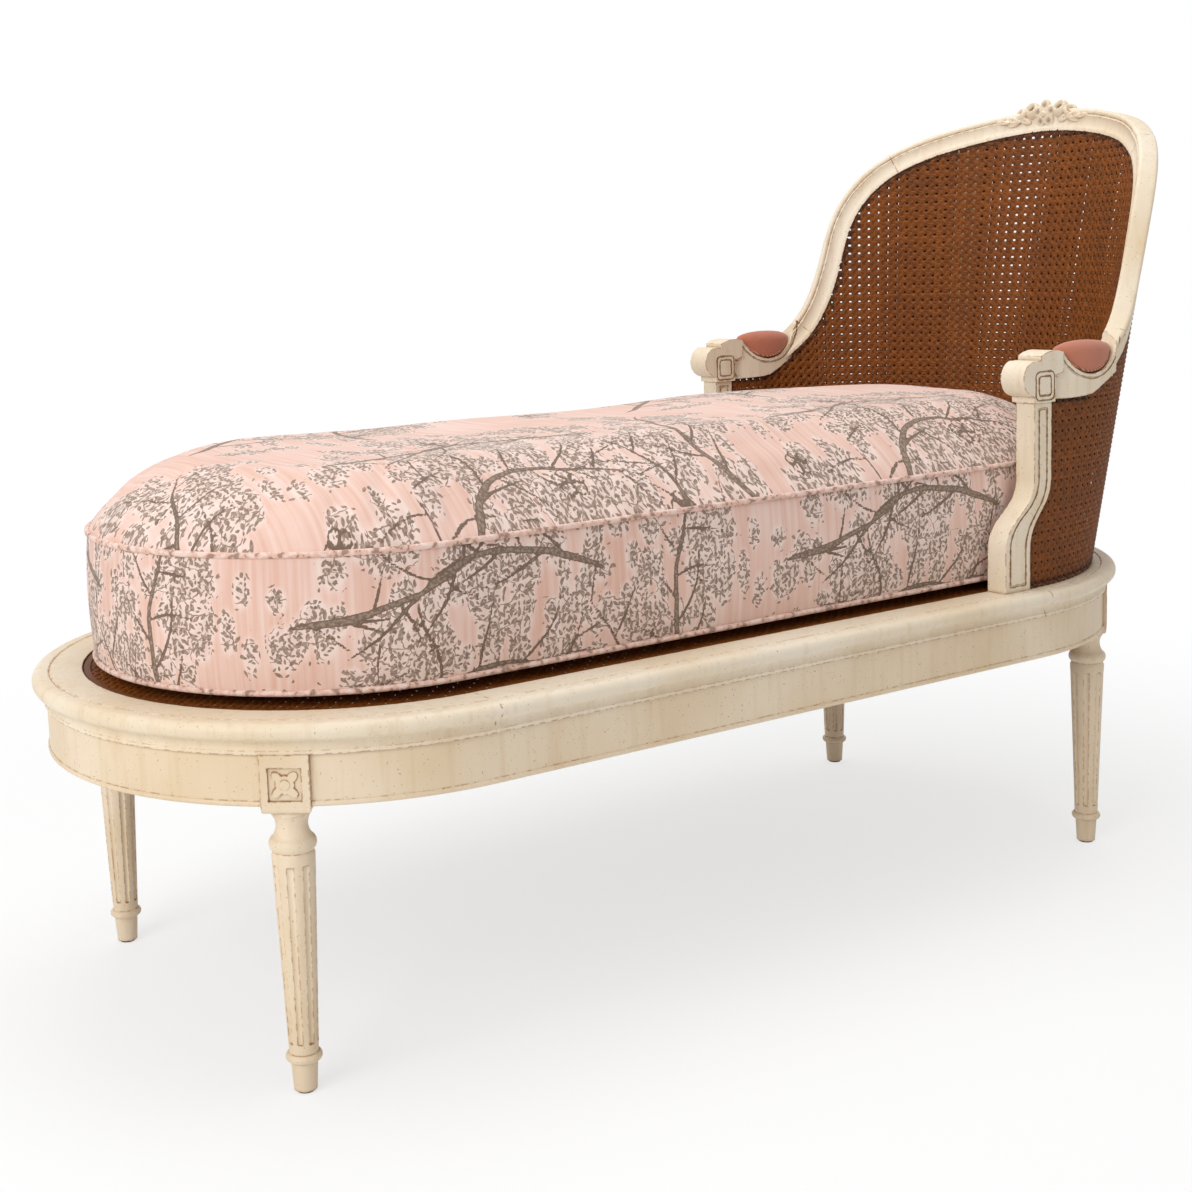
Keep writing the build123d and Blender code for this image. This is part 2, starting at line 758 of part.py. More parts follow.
# Arm: the last length of the rail, the rolled scroll with a panel on each face, the leaf behind
# it and the widened cradle with a line round its hollow
for hand, side in sides.items():
    with BuildPart() as body:
        with BuildSketch(level_plane(arm_height - cradle_under - overrun)):
            with Locations((seat_half_straight + cradle_middle, side * arm_y)):
                Ellipse(cradle_half_length, cradle_half_width)
        extrude(amount=cradle_under + cradle_top + 2 * overrun)
        with BuildSketch(upright_plane(0)):
            add(cradle_outline(0))
        extrude(amount=arm_y + cradle_half_width + overrun, both=True, mode=Mode.INTERSECT)
    with BuildPart() as line:
        with BuildSketch(upright_plane(0)):
            with Locations((cradle_middle, cradle_bottom + cradle_radius)):
                Circle(cradle_radius + cradle_line_in + cradle_line)
                Circle(cradle_radius + cradle_line_in, mode=Mode.SUBTRACT)
        extrude(amount=arm_y + cradle_half_width + overrun, both=True)
        with BuildSketch(level_plane(0)):
            with Locations((seat_half_straight + cradle_middle, side * arm_y)):
                Ellipse(cradle_half_length - cradle_line_depth, cradle_half_width - cradle_line_depth)
        extrude(amount=arm_height + cradle_radius + overrun, mode=Mode.SUBTRACT)
    with BuildPart() as arm:
        add(body.part)
        arm_shares = even_shares(arm_joint_share, arm_end_share, arm_stations)
        add(rail_length([(share, side) for share in arm_shares]))
        add(cradle_round(0), mode=Mode.SUBTRACT)
        add(line.part, mode=Mode.SUBTRACT)
        with BuildSketch(upright_plane(side * arm_y)):
            with BuildLine():
                block = Polyline(
                    (scroll_block_front, scroll_top - 2 * scroll_roll_drop),
                    (scroll_block_front, scroll_bottom),
                    (scroll_block_back, scroll_bottom),
                    (scroll_block_back, arm_height),
                    (leaf_back, arm_height + leaf_swell),
                    (leaf_back, arm_height + leaf_rise),
                )
                leaf = ThreePointArc(
                    block @ 1,
                    ((leaf_front + leaf_back) / 2, arm_height + leaf_rise + leaf_swell),
                    (leaf_front, arm_height + leaf_rise - leaf_swell),
                )
                step = Line(leaf @ 1, (leaf_front, scroll_top))
                brow = Line(step @ 1, (scroll_roll_middle, scroll_top))
                ThreePointArc(brow @ 1, (scroll_front, scroll_top - scroll_roll_drop), block @ 0)
            make_face()
        extrude(amount=scroll_width / 2, both=True)
        add(cradle_round(0), mode=Mode.SUBTRACT)
        for face in (1, -1):
            volute = Plane(
                origin=(arc_x + (scroll_block_front + scroll_block_back) / 2,
                        side * arm_y + face * scroll_width / 2,
                        scroll_bottom + volute_margin + volute_height / 2),
                x_dir=(1, 0, 0),
                z_dir=(0, face, 0),
            )
            with BuildSketch(volute):
                for ring in range(volute_count):
                    shrink = 2 * ring * volute_step
                    RectangleRounded(
                        volute_length - shrink,
                        volute_height - shrink,
                        volute_round - shrink / 4,
                    )
                    RectangleRounded(
                        volute_length - shrink - 2 * volute_line,
                        volute_height - shrink - 2 * volute_line,
                        volute_round - shrink / 4 - volute_line,
                        mode=Mode.SUBTRACT,
                    )
            extrude(amount=-volute_depth, mode=Mode.SUBTRACT)
        add(joint_dowels(arm_joint_share, side, dowel_clearance), mode=Mode.SUBTRACT)
        add(support_tenon(side, scroll_bottom, joint_clearance), mode=Mode.SUBTRACT)
    arm.part.label = f"arm_{hand}"
    export_step(arm.part, f"parts/arm_{hand}.step")

    with BuildPart() as pad:
        for share in even_shares(-pad_round_share, pad_round_share, pad_stations):
            fullness = (1 - share * share) ** 0.5
            width = pad_half_width * fullness
            crown = cradle_bottom + pad_tip_rise + (pad_rise - pad_tip_rise) * fullness
            shoulder = crown - (crown - cradle_bottom) * fullness * pad_side_share
            station = (arc_x + cradle_middle + share * pad_half_length, side * arm_y, 0)
            with BuildSketch(Plane(origin=station, x_dir=(0, 1, 0), z_dir=(1, 0, 0))):
                with BuildLine():
                    base = Polyline(
                        (width, shoulder),
                        (width, cradle_bottom),
                        (-width, cradle_bottom),
                        (-width, shoulder),
                    )
                    ThreePointArc(base @ 1, (0, crown), base @ 0)
                make_face()
        loft()
        add(cradle_round(-pad_gap), mode=Mode.INTERSECT)
    pad.part.label = f"arm_pad_{hand}"
    export_step(pad.part, f"parts/arm_pad_{hand}.step")


# Outline of an arm support seen from the side, drawn in by an inset
def support_outline(inset):
    with BuildSketch(mode=Mode.PRIVATE) as outline:
        with BuildLine():
            front = Line(
                (support_base_front + inset, cap_top + inset),
                (support_base_front + inset, support_knee),
            )
            front_s = Spline(front @ 1, (support_top_front + inset, support_bend), tangents=((0, 1), (0, 1)))
            top = Polyline(
                front_s @ 1,
                (support_top_front + inset, scroll_bottom - inset),
                (support_top_back - inset, scroll_bottom - inset),
                (support_top_back - inset, support_bend),
            )
            back_s = Spline(top @ 1, (support_base_back - inset, support_knee), tangents=((0, -1), (0, -1)))
            Polyline(back_s @ 1, (support_base_back - inset, cap_top + inset), front @ 0)
        make_face()
    return outline.sketch


for hand, side in sides.items():
    with BuildPart() as support:
        with BuildSketch(upright_plane(side * support_y)):
            add(support_outline(0))
        extrude(amount=support_width / 2, both=True)
        for face in (1, -1):
            with BuildSketch(upright_plane(side * support_y - face * support_width / 2)):
                add(support_outline(support_groove_inset))
                add(support_outline(support_groove_inset + support_groove_width), mode=Mode.SUBTRACT)
            extrude(amount=-face * support_groove_depth, mode=Mode.SUBTRACT)
        add(support_tenon(side, cap_top, 0))
        add(support_tenon(side, scroll_bottom, 0))
        add(screws(screw_clearance), mode=Mode.SUBTRACT)
    support.part.label = f"arm_support_{hand}"
    export_step(support.part, f"parts/arm_support_{hand}.step")


# Point of the back on one ruling, at an offset from its middle surface and a share of its height
def ruling_ends(share, side, offset):
    plane = rail_plane(share, side)
    rim = plane.from_local_coords((offset, -rail_half_width - skin_rim_gap, 0))
    out = outward(Vector(rim.X, rim.Y * side, 0))
    foot = Vector(min(rim.X, arc_x), 0, cap_top)
    foot += Vector(out.X, out.Y * side, 0) * (back_base_radius + offset)
    return foot, rim


# Curved board of the back between two offsets, ruled from its low line to its high line
def curved_board(stations, inner, outer, low, high):
    lines = {}
    for offset in (inner, outer):
        for level in (low, high):
            points = []
            for share, side in stations:
                foot, rim = ruling_ends(share, side, offset)
                height = rim.Z if level is None else level
                points.append(foot + (rim - foot) * ((height - cap_top) / (rim.Z - cap_top)))
            lines[offset, level] = Edge.make_spline(points, parameters=even_shares(0, 1, len(points)))
    corners_of = [lines[inner, low], lines[outer, low], lines[outer, high], lines[inner, high]]
    skin = [
        Face.make_surface_from_curves(first, second)
        for first, second in zip(corners_of, corners_of[1:] + corners_of[:1])
    ]
    for place in (0, 1):
        low_end = Edge.make_line(lines[inner, low] @ place, lines[outer, low] @ place)
        high_end = Edge.make_line(lines[inner, high] @ place, lines[outer, high] @ place)
        skin.append(Face.make_surface_from_curves(low_end, high_end))
    return Solid(Shell(skin))


run_shares = even_shares(1, 0, back_stations)
run_stations = [(share, -1) for share in run_shares] + [(share, 1) for share in run_shares[-2::-1]]
rib_stations = {hand: [(share, side) for share in rib_shares] for hand, side in sides.items()}


# What an arm support leaves of the back: everything behind its rear edge and a gap
with BuildPart() as front_cut:
    with BuildSketch(upright_plane(0)):
        rear_x = support_base_back + skin_gap
        with BuildLine():
            rear = Line((rear_x, cap_top - overrun), (rear_x, support_knee))
            rear_s = Spline(rear @ 1, (support_top_back + skin_gap, support_bend), tangents=((0, 1), (0, 1)))
            Polyline(
                rear_s @ 1,
                (support_top_back + skin_gap, scroll_bottom - skin_gap),
                (scroll_block_back + skin_gap, scroll_bottom - skin_gap),
                (scroll_block_back + skin_gap, arm_height + overrun),
                (support_base_front - 2 * overrun, arm_height + overrun),
                (support_base_front - 2 * overrun, cap_top - overrun),
                rear @ 0,
            )
        make_face()
        add(cradle_outline(skin_gap))
    extrude(amount=2 * arm_y, both=True)

base_rail_top = cap_top + base_rail_height
for name, offset in {"back_cane_inner": -skin_offset, "back_cane_outer": skin_offset}.items():
    with BuildPart() as skin:
        inner_face = offset - skin_thickness / 2
        add(curved_board(run_stations, inner_face, inner_face + skin_thickness, cap_top, None))
        add(front_cut.part, mode=Mode.SUBTRACT)
    skin.part.label = name
    export_step(skin.part, f"parts/{name}.step")

board_half = skin_offset - skin_thickness / 2 - board_gap
with BuildPart() as back_base_rail:
    add(curved_board(run_stations, -board_half, board_half, cap_top, base_rail_top))
    add(front_cut.part, mode=Mode.SUBTRACT)
    add(screws(screw_clearance), mode=Mode.SUBTRACT)
back_base_rail.part.label = "back_base_rail"
export_step(back_base_rail.part, "parts/back_base_rail.step")

for hand, stations in rib_stations.items():
    with BuildPart() as rib:
        add(curved_board(stations, -board_half, board_half, base_rail_top, None))
    rib.part.label = f"back_rib_{hand}"
    export_step(rib.part, f"parts/back_rib_{hand}.step")

with BuildPart() as back_screws:
    add(screws(0))
back_screws.part.label = "back_screws"
export_step(back_screws.part, "parts/back_screws.step")

# Crest: an open flower with two buds on each side and a leaf that runs out along the rail
with BuildPart() as crest_carving:
    flower = rail_plane(0, 1)
    eye = Plane(
        origin=flower.from_local_coords((-rail_half_depth, rail_half_width - crest_drop, 0)),
        x_dir=flower.z_dir,
        z_dir=-flower.x_dir,
    )
    with Locations(eye.location):
        Sphere(crest_eye_radius)
        with PolarLocations(crest_petal_ring, crest_petals, start_angle=quarter_angle):
            Sphere(crest_petal_radius)
    for side in sides.values():
        for share, radius in zip(crest_side_shares, crest_side_radii):
            bud = rail_plane(share, side)
            with Locations(bud.from_local_coords((-crest_forward, rail_half_width + crest_side_rise, 0))):
                Sphere(radius)
        for share, radius in zip(crest_leaf_shares, crest_leaf_radii):
            with BuildSketch(rail_plane(share, side)):
                with Locations((-crest_forward, rail_half_width - crest_leaf_sink)):
                    Circle(radius)
        loft()
    add(top_rail.part, mode=Mode.SUBTRACT)
crest_carving.part.label = "crest_carving"
export_step(crest_carving.part, "parts/crest_carving.step")


# Plan of the squab at a distance from the middle lines of its two round ends
def squab_outline(radius):
    with BuildSketch(mode=Mode.PRIVATE) as outline:
        with BuildLine():
            for end in (1, -1):
                middle = (end * seat_half_straight, 0)
                CenterArc(middle, radius, -quarter_angle * end, quarter_angle)
                CenterArc(middle, radius, quarter_angle - quarter_angle * end, quarter_angle)
            for side in (1, -1):
                Line((-seat_half_straight, side * radius), (seat_half_straight, side * radius))
        make_face()
    return outline.sketch


# Loose squab: belly, bulged sides, crowned top and a corded seam above and below
cushion_low = cane_top + cushion_gap
seam_low = cushion_low + cushion_belly
seam_high = seam_low + cushion_side
with BuildPart() as seat_cushion:
    with BuildSketch(level_plane(cushion_low)):
        add(squab_outline(cushion_radius - cushion_belly_inset))
    with BuildSketch(level_plane(seam_low)):
        add(squab_outline(cushion_radius))
    loft()
    with BuildSketch(level_plane(seam_low)):
        add(squab_outline(cushion_radius))
    with BuildSketch(level_plane((seam_low + seam_high) / 2)):
        add(squab_outline(cushion_radius + cushion_bulge))
    with BuildSketch(level_plane(seam_high)):
        add(squab_outline(cushion_radius))
    loft()
    with BuildSketch(level_plane(seam_high)):
        add(squab_outline(cushion_radius))
    for inset, rise in zip(crown_inset_shares, crown_rise_shares):
        with BuildSketch(level_plane(seam_high + cushion_crown * rise)):
            add(squab_outline(cushion_radius * (1 - inset)))
    loft()
    for seam in (seam_low, seam_high):
        with BuildSketch() as cord:
            with Locations((cushion_radius, seam)):
                Circle(piping_radius)
        add(seat_run(cord.sketch))
seat_cushion.part.label = "seat_cushion"
export_step(seat_cushion.part, "parts/seat_cushion.step")
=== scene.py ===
import math
import random

import bpy
import numpy as np
from mathutils import Matrix, Vector, noise
from mathutils.bvhtree import BVHTree


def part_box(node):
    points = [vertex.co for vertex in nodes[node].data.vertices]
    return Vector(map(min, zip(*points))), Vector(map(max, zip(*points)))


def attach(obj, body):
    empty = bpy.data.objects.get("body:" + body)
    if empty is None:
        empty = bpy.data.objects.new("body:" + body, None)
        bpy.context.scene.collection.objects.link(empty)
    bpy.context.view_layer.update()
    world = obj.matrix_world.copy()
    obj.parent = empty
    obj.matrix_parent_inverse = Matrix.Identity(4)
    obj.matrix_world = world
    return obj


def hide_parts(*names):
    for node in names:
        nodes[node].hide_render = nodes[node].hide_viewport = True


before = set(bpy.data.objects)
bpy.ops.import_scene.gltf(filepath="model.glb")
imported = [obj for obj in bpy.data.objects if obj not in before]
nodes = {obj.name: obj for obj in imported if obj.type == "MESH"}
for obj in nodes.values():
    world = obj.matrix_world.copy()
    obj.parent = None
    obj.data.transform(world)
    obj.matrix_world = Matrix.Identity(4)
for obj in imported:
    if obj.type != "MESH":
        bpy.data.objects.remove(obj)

scene = bpy.context.scene
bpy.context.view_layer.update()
for item in list(bpy.context.selected_objects):
    item.select_set(False)

# The camera stands where the photograph was taken, near the right side of the foot end and a
# little above the cushion, and looks a few degrees down. The seat's own middle is given by
# its long straights. Places in the picture are in its own pixels.
seat_middle = (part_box("seat_cap_left")[0].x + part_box("seat_cap_left")[1].x) / 2
picture_side = 1192.0
picture_focus = 1759.83
picture_middle = (500.28, 478.62)
camera_yaw, camera_pitch, camera_roll = 0.5699, 0.1299, -0.0371
camera_place = Vector((seat_middle - 1.3739, -1.8539, 0.8682))
sensor_width = 36.0


def add_object(name, data):
    new = bpy.data.objects.new(name, data)
    scene.collection.objects.link(new)
    return new


camera = add_object("camera", bpy.data.cameras.new("camera"))
camera.data.sensor_width = sensor_width
camera.data.lens = picture_focus / picture_side * sensor_width
camera.data.shift_x = 0.5 - picture_middle[0] / picture_side
camera.data.shift_y = picture_middle[1] / picture_side - 0.5
sight = Vector((math.sin(camera_yaw) * math.cos(camera_pitch),
                math.cos(camera_yaw) * math.cos(camera_pitch),
                -math.sin(camera_pitch)))
level = Vector((math.cos(camera_yaw), -math.sin(camera_yaw), 0))
above = level.cross(sight)
across = level * math.cos(camera_roll) + above * math.sin(camera_roll)
upward = above * math.cos(camera_roll) - level * math.sin(camera_roll)
camera_turn = Matrix((across, upward, -sight)).transposed().to_4x4()
camera.matrix_world = Matrix.Translation(camera_place) @ camera_turn
scene.camera = camera

# Rails, legs, arms and back rail are beech, painted cream and rubbed back by hand: the wood
# shows brown along worn edges, and an old glaze stays in the grooves, deepened with painted
# shade. The rails and legs get a darker tan copy of the paint, which is painted shade for the
# lower parts. The turned, moulded and carved pieces of the frame keep the shapes of the model
# and get the finish here.
rails_and_legs = ["rail_foot", "rail_head", "rail_side_left", "rail_side_right",
                  "leg_foot_left", "leg_foot_right", "leg_head_left", "leg_head_right"]
upper_frame = ["seat_cap_foot", "seat_cap_head", "seat_cap_left", "seat_cap_right",
               "arm_support_left", "arm_support_right", "arm_left", "arm_right",
               "back_stile_left", "back_stile_right", "top_rail"]
weld_reach = 0.00001
crisp_angle = math.radians(28)


def linear(code):
    channels = [int(code[place:place + 2], 16) / 255 for place in (0, 2, 4)]
    return [c / 12.92 if c <= 0.04045 else ((c + 0.055) / 1.055) ** 2.4 for c in channels] + [1.0]


# Sets a node's inputs. Where an input is given a node, it takes that node's first output
def feed(tree, node, inputs):
    for socket, value in inputs.items():
        if isinstance(value, bpy.types.Node):
            value = value.outputs[0]
        if isinstance(value, bpy.types.NodeSocket):
            tree.links.new(value, node.inputs[socket])
        else:
            node.inputs[socket].default_value = value
    return node


def add_node(tree, kind, inputs, **settings):
    new = tree.nodes.new(kind)
    for name, value in settings.items():
        setattr(new, name, value)
    return feed(tree, new, inputs)


# Lays a colour over the one below: none where the measure is at its start, most where full
def coat(tree, below, colour, measure, start=0.0, full=1.0, most=1.0):
    share = add_node(tree, "ShaderNodeMapRange", {"Value": measure, "From Min": start, "From Max": full,
                                                  "To Max": most})
    return add_node(tree, "ShaderNodeMixRGB", {"Fac": share, "Color1": below, "Color2": linear(colour)})


def new_material(name):
    material = bpy.data.materials.new(name)
    material.use_nodes = True
    tree = material.node_tree
    place = add_node(tree, "ShaderNodeTexCoord", {}).outputs["Object"]
    return material, tree, tree.nodes["Principled BSDF"], place


# Rubbed paint: matt and slightly waxy, smooth and even from a distance, with faint upright
# drags of the brush 10 mm apart, specks of bare wood 1.5 mm wide, a broken brown line where
# edges are rubbed through, and brown in hollows and wherever other parts come within 11 mm:
# an old glaze and painted shade. Patterns are in cells to the metre.
paint_patches = 6.0  # 170 mm wide
drags_across, drags_along = 100.0, 9.0  # 10 mm apart and 110 mm long
bare_specks = 420.0  # one in 2.4 mm at most
rubbed_breaks = 130.0  # every 8 mm
brush_hairs = 320.0  # 3 mm, coarser than a brush leaves them, so that they show
glaze_and_shade_reach = 0.011
worn_edge = 0.0027


def rubbed_paint(name, pale, deep, carved=False):
    material, tree, shader, place = new_material(name)
    patches = add_node(tree, "ShaderNodeTexNoise", {"Vector": place, "Scale": paint_patches, "Detail": 3.0})
    paint = coat(tree, linear(pale), deep, patches, 0.35, 0.7)
    upright = add_node(tree, "ShaderNodeMapping", {"Vector": place,
                                                   "Scale": (drags_across, drags_across, drags_along)})
    drags = add_node(tree, "ShaderNodeTexNoise", {"Vector": upright, "Scale": 1.0, "Detail": 4.0})
    paint = coat(tree, paint, "CBAA7C", drags, 0.5, 0.75, 0.28)
    specks = add_node(tree, "ShaderNodeTexNoise", {"Vector": place, "Scale": bare_specks, "Detail": 1.0})
    paint = coat(tree, paint, "96693A", specks, 0.7, 0.76, 0.6)
    # Brown where the surface is hemmed in by other surfaces: part old glaze, part painted shade
    hollow = add_node(tree, "ShaderNodeAmbientOcclusion", {"Distance": glaze_and_shade_reach}, samples=8)
    paint = coat(tree, paint, "9A713E", hollow.outputs["AO"], 0.76, 0.25, 0.95)
    # On the carving: painted shade, dark brown in the hollows of its lobes
    if carved:
        painted_hollow_shade = add_node(tree, "ShaderNodeAttribute", {}, attribute_name="painted_hollow_shade")
        paint = coat(tree, paint, "5E3B1C", painted_hollow_shade.outputs["Fac"], 0.1, 0.6, 0.9)
    rounded = add_node(tree, "ShaderNodeBevel", {"Radius": worn_edge}, samples=6)
    surface = add_node(tree, "ShaderNodeNewGeometry", {})
    turn = add_node(tree, "ShaderNodeVectorMath", {0: rounded, 1: surface.outputs["Normal"]},
                    operation="DOT_PRODUCT")
    edge = add_node(tree, "ShaderNodeMapRange", {"Value": turn.outputs["Value"], "From Min": 0.988,
                                                 "From Max": 0.88})
    breaks = add_node(tree, "ShaderNodeTexNoise", {"Vector": place, "Scale": rubbed_breaks, "Detail": 3.0})
    breaks = add_node(tree, "ShaderNodeMapRange", {"Value": breaks, "From Min": 0.46, "From Max": 0.56})
    worn = add_node(tree, "ShaderNodeMath", {0: edge, 1: breaks}, operation="MULTIPLY")
    paint = coat(tree, paint, "9C6A3A", worn)
    hairs = add_node(tree, "ShaderNodeTexNoise", {"Vector": place, "Scale": brush_hairs, "Detail": 3.0})
    bump = add_node(tree, "ShaderNodeBump", {"Height": hairs, "Strength": 0.12, "Distance": 0.001})
    feed(tree, shader, {"Base Color": paint, "Normal": bump, "Roughness": 0.52})
    return material


def dress(obj, material):
    obj.data.materials.clear()
    obj.data.materials.append(material)


def smooth_faces(obj):
    for polygon in obj.data.polygons:
        polygon.use_smooth = True


def smooth_rigid(obj):
    smooth_faces(obj)
    weld = obj.modifiers.new("weld", "WELD")
    weld.merge_threshold = weld_reach
    split = obj.modifiers.new("edges", "EDGE_SPLIT")
    split.split_angle = crisp_angle


cream_paint = rubbed_paint("rubbed_cream_paint", "EDE0CB", "E3CFB0")
# Darker, tanner copy of the same paint for the rails and legs: painted shade for the lower parts
shade_tan_paint = rubbed_paint("tan_paint_with_painted_shade", "EAD8BE", "DDC5A2")
for name in rails_and_legs + upper_frame:
    dress(nodes[name], shade_tan_paint if name in rails_and_legs else cream_paint)
    smooth_rigid(nodes[name])

# The crest is carved apart in lime wood and glued on the top rail: an open flower of five
# cupped petals, on each side two leaves that curl over with a hollow in the curl, and long
# leaves that run out along the rail. It has the same rubbed paint, with painted shade in the
# hollows of its lobes.
crest_low, crest_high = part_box("crest_carving")
crest_middle_x = (crest_low.x + crest_high.x) / 2
rail_radius = 0.42
rail_ridge_back = 0.004
over_all = 2.0
before_back = 0.5
flower_drop = 0.006
petal_count = 5
petal_ring = 0.0115
petal_size = (0.0062, 0.0094, 0.0104)
eye_size = (0.0055, 0.0052, 0.0052)
eye_ahead = 0.003
curl_sunk = 0.004
leaf_thick = 0.0036
leaf_sunk = 0.0005
knife_step = 0.0008
knife_strokes = 3
# Of each curl: its distance out and its rise on the rail, half sizes, and lean in radians
curls = ((0.026, 0.006, (0.0115, 0.0125, 0.0140), 0.35),
         (0.047, 0.002, (0.0095, 0.0125, 0.0105), 0.75))
# Of each leaf: its distance out and its drop below the ridge, half length and width, and lean
leaves = ((0.038, 0.013, 0.013, 0.0055, 1.25), (0.058, 0.009, 0.015, 0.0060, 1.35),
          (0.060, 0.016, 0.013, 0.0040, 1.75), (0.076, 0.009, 0.013, 0.0042, 1.45))


def surface_of(mesh):
    return BVHTree.FromPolygons([v.co for v in mesh.vertices], [p.vertices for p in mesh.polygons])


rail_surface = surface_of(nodes["top_rail"].data)


def on_rail(y, drop):
    ridge_x = crest_middle_x + rail_ridge_back - y * y / (2 * rail_radius)
    over, _, _, _ = rail_surface.ray_cast(Vector((ridge_x, y, over_all)), Vector((0, 0, -1)))
    front, _, _, _ = rail_surface.ray_cast(Vector((before_back, y, over.z - drop)), Vector((1, 0, 0)))
    return front


lobes = []
painted_shade_spots = []


# One lobe: a ball pushed in where it faces the hollow, then stretched, leaned and set in place
def carve_lobe(place, size, lean, hollow, wide, deep, shade):
    bpy.ops.mesh.primitive_uv_sphere_add(segments=32, ring_count=20, radius=1)
    lobe = bpy.context.object
    hollow = Vector(hollow).normalized()
    for vertex in lobe.data.vertices:
        away = (vertex.co - hollow).length / wide
        if away < 1:
            vertex.co -= hollow * deep * (1 - away * away)
    lobe.location = place
    lobe.scale = size
    lobe.rotation_euler = (lean, 0, 0)
    bottom = Vector([length * way * (1 - deep) for length, way in zip(size, hollow)])
    bottom.rotate(lobe.rotation_euler)
    # Keeps the hollow's bottom, reach and darkness for the painted shade in it
    painted_shade_spots.append((place + bottom, wide * sorted(size)[1], shade))
    bpy.ops.object.transform_apply(location=True, rotation=True, scale=True)
    lobe.select_set(False)
    lobes.append(lobe)


flower_place = on_rail(0, flower_drop)
for petal in range(petal_count):
    turn = 2 * math.pi * petal / petal_count
    reach = Vector((-0.001, -math.sin(turn), math.cos(turn))) * petal_ring
    carve_lobe(flower_place + reach, petal_size, turn, (-1, 0, 0.3), wide=0.8, deep=0.45, shade=0.55)
carve_lobe(flower_place - Vector((eye_ahead, 0, 0)), eye_size, 0, (-1, 0, 0), wide=0.5, deep=0.35,
           shade=0.3)
for side in (1, -1):
    for out, rise, size, lean in curls:
        spot = on_rail(side * out, flower_drop) + Vector((curl_sunk, 0, rise))
        carve_lobe(spot, size, -side * lean, (-0.75, -0.2 * side, 0.6), wide=0.62, deep=0.8, shade=1.0)
    for out, drop, length, width, lean in leaves:
        spot = on_rail(side * out, drop) + Vector((leaf_sunk, 0, 0))
        carve_lobe(spot, (leaf_thick, width, length), -side * lean, (-1, 0, 0), wide=0.55, deep=0.4,
                   shade=0.35)
for lobe in lobes:
    lobe.select_set(True)
bpy.context.view_layer.objects.active = lobes[0]
bpy.ops.object.join()
crest = bpy.context.object
crest.name = "carved_crest"


# Makes one even skin over a shape and rubs it smooth
def skin_and_rub(obj, cell, strokes):
    skin = obj.modifiers.new("skin", "REMESH")
    skin.mode = "VOXEL"
    skin.voxel_size = cell
    bpy.ops.object.modifier_apply(modifier=skin.name)
    rub = obj.modifiers.new("rub", "SMOOTH")
    rub.factor = 0.5
    rub.iterations = strokes
    bpy.ops.object.modifier_apply(modifier=rub.name)
    obj.select_set(False)


skin_and_rub(crest, knife_step, knife_strokes)
smooth_faces(crest)
# Painted shade in the carving: dark at each hollow's bottom, fading out over its reach
painted_hollow_shade = [max(0.0, *(shade * (1 - (vertex.co - spot).length / reach) for spot, reach, shade in painted_shade_spots))
        for vertex in crest.data.vertices]
crest.data.attributes.new("painted_hollow_shade", "FLOAT", "POINT").data.foreach_set("value", painted_hollow_shade)
dress(crest, rubbed_paint("rubbed_cream_paint_carving", "EADBC2", "DFC8A4", True))
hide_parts("crest_carving")
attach(crest, "frame")

# Hidden beech of the cross rails and the dowels is left bare, planed and unfinished, with
# grain lines about 1.5 mm apart along x.
beech_grain = 7.0
grain_along, grain_across = 4.0, 90.0  # times the above: 36 mm long and 1.6 mm apart


def bare_beech():
    material, tree, shader, place = new_material("bare_beech")
    stretched = add_node(tree, "ShaderNodeMapping", {"Vector": place,
                                                     "Scale": (grain_along, grain_across, grain_across)})
    grain = add_node(tree, "ShaderNodeTexNoise", {"Vector": stretched, "Scale": beech_grain, "Detail": 5.0})
    bump = add_node(tree, "ShaderNodeBump", {"Height": grain, "Strength": 0.15, "Distance": 0.001})
    feed(tree, shader, {"Base Color": coat(tree, linear("A87B4C"), "C79C69", grain), "Normal": bump,
                        "Roughness": 0.65})
    return material


beech = bare_beech()
for name in ("cross_rail_foot", "cross_rail_head", "frame_dowels"):
    dress(nodes[name], beech)
    smooth_rigid(nodes[name])

# Screws of the back are plain steel wood screws, turned and left bright, with faint turning
# marks. The glides under the feet are dark moulded nylon. Patterns are in cells to the metre.
turning_marks = 700.0  # 1.4 mm, coarser than a lathe leaves them, so that they show
glide_mottle = 400.0  # 2.5 mm


def turned_steel():
    material, tree, shader, place = new_material("turned_steel")
    marks = add_node(tree, "ShaderNodeTexNoise", {"Vector": place, "Scale": turning_marks})
    feed(tree, shader, {"Base Color": coat(tree, linear("9C9C9A"), "B4B4B0", marks), "Metallic": 1.0,
                        "Roughness": 0.35})
    return material


def moulded_glide():
    material, tree, shader, place = new_material("moulded_nylon_glide")
    mottle = add_node(tree, "ShaderNodeTexNoise", {"Vector": place, "Scale": glide_mottle})
    feed(tree, shader, {"Base Color": coat(tree, linear("3A2E24"), "56463A", mottle), "Roughness": 0.6})
    return material


dress(nodes["back_screws"], turned_steel())
dress(nodes["foot_glides"], moulded_glide())
for name in ("back_screws", "foot_glides"):
    smooth_rigid(nodes[name])

# Woven cane is split rattan, stained brown: pairs of strands run both ways about 13 mm apart
# with single diagonals woven through them, which leaves small eight-sided holes. The rail
# between the two skins of the back is stained too, and the slats there are cream.
cane_pitch = 0.013
back_strand = 0.0050
seat_strand = 0.0059
strand_rise = 0.0010
pair_gap = 0.0002
pair_weave = 0.0005
diagonal_weave = 0.0012
strand_overlap = 0.003
least_stub = 0.15
edge_halvings = 7
rim_places = 2
faded_patches = 11.0  # to the metre: 90 mm wide


